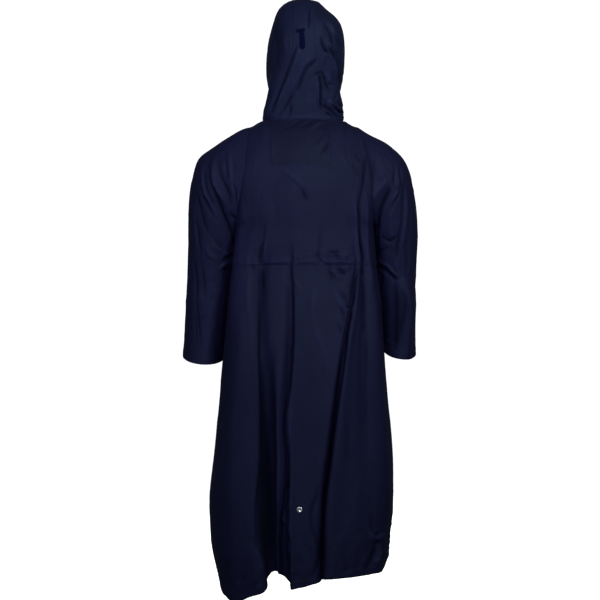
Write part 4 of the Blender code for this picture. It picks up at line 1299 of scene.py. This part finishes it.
def white_surround():
    """A pale floor and a white dome that show but throw no light on the cloth."""
    glow = {"Roughness": 1, "Emission_Color": (1, 1, 1, 1), "Emission_Strength": 1}
    material, *_ = new_material("White surround", (0.8, 0.8, 0.8), **glow)
    dome = bmesh.new()
    bmesh.ops.create_uvsphere(dome, u_segments=48, v_segments=24, radius=DOME_RADIUS)
    bmesh.ops.reverse_faces(dome, faces=dome.faces)
    floor = bmesh.new()
    bmesh.ops.create_circle(floor, cap_ends=True, segments=64, radius=FLOOR_RADIUS)
    bmesh.ops.translate(floor, verts=floor.verts, vec=(0, 0, FLOOR_LEVEL))
    for name, shape in (("dome", dome), ("floor", floor)):
        mesh = bpy.data.meshes.new(name)
        shape.to_mesh(mesh)
        shape.free()
        mesh.materials.append(material)
        piece = bpy.data.objects.new(name, mesh)
        bpy.context.scene.collection.objects.link(piece)
        piece.visible_diffuse = False
        piece.visible_glossy = False
        piece.visible_shadow = False


# The add-on


class PonchoCloth(bpy.types.PropertyGroup):
    thickness: FloatProperty(
        name="Cloth thickness",
        description="How thick each shell of cloth is",
        default=1.1 * MM,
        min=0.4 * MM,
        max=1.6 * MM,
        unit="LENGTH",
    )
    colour: FloatVectorProperty(
        name="Cloth colour",
        description="The very dark navy of the proofed cloth",
        default=(0.0050, 0.0048, 0.0238),
        size=3,
        subtype="COLOR",
        min=0,
        max=1,
    )
    roughness: FloatProperty(
        name="Roughness",
        description="How dull the cloth is",
        default=0.7,
        min=0.1,
        max=1,
        subtype="FACTOR",
    )


class PonchoStitches(bpy.types.PropertyGroup):
    spacing: FloatProperty(
        name="Stitch spacing",
        description="From the middle of one stitch to the middle of the next",
        default=3.2 * MM,
        min=1 * MM,
        unit="LENGTH",
    )
    length: FloatProperty(
        name="Stitch length",
        description="Length of the thread that shows at each stitch",
        default=2.5 * MM,
        min=0.5 * MM,
        unit="LENGTH",
    )
    width: FloatProperty(
        name="Thread width",
        description="Thickness of the thread",
        default=0.55 * MM,
        min=0.2 * MM,
        unit="LENGTH",
    )
    colour: FloatVectorProperty(
        name="Thread colour",
        description="A navy a little lighter than the cloth",
        default=(0.008, 0.010, 0.034),
        size=3,
        subtype="COLOR",
        min=0,
        max=1,
    )


class PonchoTrim(bpy.types.PropertyGroup):
    tape_colour: FloatVectorProperty(
        name="Tape colour",
        description="The near-black navy of the hook tape",
        default=(0.0012, 0.0026, 0.016),
        size=3,
        subtype="COLOR",
        min=0,
        max=1,
    )
    snap_colour: FloatVectorProperty(
        name="Snap colour",
        description="The bright steel of the snap cap",
        default=(0.75, 0.76, 0.78),
        size=3,
        subtype="COLOR",
        min=0,
        max=1,
    )
    snap_segments: IntProperty(
        name="Snap segments",
        description="Sides of the round snap cap",
        default=48,
        min=12,
        max=96,
    )


class PonchoStage(bpy.types.PropertyGroup):
    key_power: FloatProperty(
        name="Key light",
        description="Strength of the soft light above, behind and to the right of the wearer",
        default=9.6,
        min=0,
        unit="POWER",
    )
    fill_power: FloatProperty(
        name="Fill light",
        description="Strength of the soft light near the camera",
        default=7,
        min=0,
        unit="POWER",
    )


def cloth_finish(cloth, part, shade=(1, 1, 1)):
    """The coated cloth of one part of the garment, in that part's shade; the hood's is painted light."""
    colour = [share * value for share, value in zip(shade, cloth.colour, strict=True)]
    return coated_cloth("Navy proofed cloth, " + part, colour, cloth.roughness)


def dress_panels(cloth, material, *panels):
    """Dresses each panel, given as its node and the flat size and area of its cloth. The flat size and
    area are not used.
    """
    for node, flat, area in panels:
        piece = Panel.of(node).build(cloth.thickness, material)


class CLOTH_OT_poncho_body(bpy.types.Operator):
    """Dresses the back and the front panel"""

    bl_idname = "cloth.poncho_body"
    bl_label = "Back and front"

    def execute(self, context):
        cloth = context.scene.poncho_cloth
        material = cloth_finish(cloth, "body")
        dress_panels(cloth, material, ("back", (0.9, 1.27), 0.8), ("front", (0.76, 1.22), 0.69))
        return {"FINISHED"}


class CLOTH_OT_poncho_sleeves(bpy.types.Operator):
    """Dresses both sleeves"""

    bl_idname = "cloth.poncho_sleeves"
    bl_label = "Sleeves"

    def execute(self, context):
        cloth = context.scene.poncho_cloth
        left, right = ("sleeve_left", (0.74, 0.62), 0.26), ("sleeve_right", (0.72, 0.6), 0.235)
        dress_panels(cloth, cloth_finish(cloth, "sleeves"), left, right)
        return {"FINISHED"}


class CLOTH_OT_poncho_hood(bpy.types.Operator):
    """Dresses the hood's two sides and its centre panel"""

    bl_idname = "cloth.poncho_hood"
    bl_label = "Hood"

    def execute(self, context):
        cloth = context.scene.poncho_cloth
        left, right = ("hood_left", (0.39, 0.36), 0.085), ("hood_right", (0.42, 0.36), 0.09)
        centre = ("hood_centre", (0.09, 0.51), 0.036)
        # The hood's cloth is a lighter, greener copy of the body's: painted light from above.
        dress_panels(cloth, cloth_finish(cloth, "hood", HOOD_PAINTED_LIGHT), left, right, centre)
        return {"FINISHED"}


class CLOTH_OT_poncho_casing(bpy.types.Operator):
    """Stitches the elastic's casing across the back"""

    bl_idname = "cloth.poncho_casing"
    bl_label = "Waist casing"

    def execute(self, context):
        material = cloth_finish(context.scene.poncho_cloth, "casing")
        piece = sewn_on("waist_casing", "back", 1.7 * MM, CASING_LIFT, material)
        return {"FINISHED"}


class CLOTH_OT_poncho_patch(bpy.types.Operator):
    """Stitches the patch below the neck seam"""

    bl_idname = "cloth.poncho_patch"
    bl_label = "Neck patch"

    def execute(self, context):
        material = cloth_finish(context.scene.poncho_cloth, "patch", PATCH_SHADE)
        piece = sewn_on("neck_patch", "back", 2.4 * MM, PATCH_LIFT, material)
        return {"FINISHED"}


class CLOTH_OT_poncho_tape(bpy.types.Operator):
    """Lays the hook tape on the hood, and the bar that holds its upper end"""

    bl_idname = "cloth.poncho_tape"
    bl_label = "Hook tape"

    def execute(self, context):
        colour = context.scene.poncho_trim.tape_colour
        dull = {"Roughness": 0.85, "Specular_IOR_Level": 0.02}
        material, tree, shader = new_material("Hook tape", colour, **dull)
        normal = bumped(tree, weave_height(tree, 160), 0.3 * MM, 0.7)
        tree.links.new(normal, shader["Normal"])
        tape_strip("hood_tab", "hood_centre", 0.2 * MM, 1.2 * MM, material, True)
        tape_strip("hood_tab_keeper", "hood_centre", 1.2 * MM, 1.2 * MM, material, False)
        return {"FINISHED"}


class CLOTH_OT_poncho_snap(bpy.types.Operator):
    """Presses the snap's cap into the back"""

    bl_idname = "cloth.poncho_snap"
    bl_label = "Snap cap"

    def execute(self, context):
        trim = context.scene.poncho_trim
        material, tree, shader = new_material("Bright steel", trim.snap_colour, Metallic=1)
        dullness = ranged(tree, noise(tree, object_place(tree), 900, 2), 0.22, 0.36)
        tree.links.new(dullness, shader["Roughness"])
        low, high = np.array(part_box("snap_cap"))
        points, normals, _ = laid_on("back", np.array([(low + high) / 2]))
        radius = (high[0] - low[0]) / 2
        profile = [(share * radius, height * MM) for share, height in SNAP_PROFILE]
        mesh = turned_mesh("snap_steel", profile, points[0], normals[0], trim.snap_segments)
        add_piece("snap_steel", mesh, material, ["snap_cap"])
        return {"FINISHED"}


class CLOTH_OT_poncho_stitches(bpy.types.Operator):
    """Sews every stitch row"""

    bl_idname = "cloth.poncho_stitches"
    bl_label = "Stitches"

    def execute(self, context):
        thread = context.scene.poncho_stitches
        material, *_ = new_material("Navy thread", thread.colour, Roughness=0.75, IOR=1.2)
        guide = guide_object(stitch_lines(0.15 * thread.width))
        sizes = {"Spacing": thread.spacing, "Length": thread.length, "Width": thread.width}
        mesh = grown(guide, stitch_tree(), "stitches", Thread=material, **sizes)
        mesh.materials.clear()
        add_piece("stitches", mesh, material)
        return {"FINISHED"}


class SCENE_OT_poncho_stage(bpy.types.Operator):
    """Sets the pale floor, the white surround, the soft lights and the camera"""

    bl_idname = "scene.poncho_stage"
    bl_label = "Stage"

    def execute(self, context):
        white_surround()
        key, fill = context.scene.poncho_stage.key_power, context.scene.poncho_stage.fill_power
        front = (0.9, 1, 0.72)
        for light in (
            ("Key light", (-1.3, 2.7, 1), (0, 0, -0.04), 0.8, key, 64, True, (0.97, 1, 0.89)),
            ("Fill light", (1.5, 3.2, 0.6), (0, 0, 0), 1.4, fill, 64, True, (1, 1, 1)),
            ("Camera light", (0.2, 4.2, 0), (0, 0, -0.1), 0.6, 0.35 * fill, 40, False, (1, 0.82, 1.02)),
            ("Front key", (1.4, -2.9, 1.2), (0, 0, -0.3), 1.2, 5 * key, 120, False, front),
            ("Front fill", (-1.9, -3.2, 0.4), (0, 0, -0.5), 1.6, 4 * fill, 120, False, front),
        ):
            soft_light(*light)
        world = bpy.data.worlds.new("Dim studio")
        world.use_nodes = True
        background = world.node_tree.nodes["Background"].inputs
        background["Color"].default_value = (0.8, 0.85, 1, 1)
        background["Strength"].default_value = 0.1
        context.scene.world = world
        context.scene.view_settings.view_transform = "Standard"
        camera = bpy.data.cameras.new("Camera")
        camera.angle = 2 * math.atan(HALF_VIEW / CAMERA_PLACE[1])
        holder = bpy.data.objects.new("Camera", camera)
        holder.location = CAMERA_PLACE
        holder.rotation_euler = (math.pi / 2, 0, math.pi)
        context.scene.collection.objects.link(holder)
        context.scene.camera = holder
        return {"FINISHED"}


class VIEW3D_PT_poncho(bpy.types.Panel):
    """Lists the poncho's steps, and the sizes and colours that they use"""

    bl_label = "Rain poncho"
    bl_space_type = "VIEW_3D"
    bl_region_type = "UI"
    bl_category = "Poncho"

    def draw(self, context):
        for operator in OPERATORS:
            self.layout.operator(operator.bl_idname)
        for group in GROUPS:
            box = self.layout.box()
            settings = getattr(context.scene, group)
            for name in settings.bl_rna.properties.keys():
                if name not in ("rna_type", "name"):
                    box.prop(settings, name)


GROUPS = {
    "poncho_cloth": PonchoCloth,
    "poncho_stitches": PonchoStitches,
    "poncho_trim": PonchoTrim,
    "poncho_stage": PonchoStage,
}
OPERATORS = (
    CLOTH_OT_poncho_body,
    CLOTH_OT_poncho_sleeves,
    CLOTH_OT_poncho_hood,
    CLOTH_OT_poncho_casing,
    CLOTH_OT_poncho_patch,
    CLOTH_OT_poncho_tape,
    CLOTH_OT_poncho_snap,
    CLOTH_OT_poncho_stitches,
    SCENE_OT_poncho_stage,
)


def register():
    """Adds the settings, the operators and the panel."""
    for name, group in GROUPS.items():
        bpy.utils.register_class(group)
        setattr(bpy.types.Scene, name, PointerProperty(type=group))
    for one in (*OPERATORS, VIEW3D_PT_poncho):
        bpy.utils.register_class(one)


def unregister():
    """Takes away what register adds."""
    for one in (*OPERATORS, VIEW3D_PT_poncho):
        bpy.utils.unregister_class(one)
    for name, group in GROUPS.items():
        delattr(bpy.types.Scene, name)
        bpy.utils.unregister_class(group)


def main():
    """Makes every piece and the stage."""
    register()
    for operator in OPERATORS:
        group, name = operator.bl_idname.split(".")
        getattr(getattr(bpy.ops, group), name)()


if __name__ == "__main__":
    main()
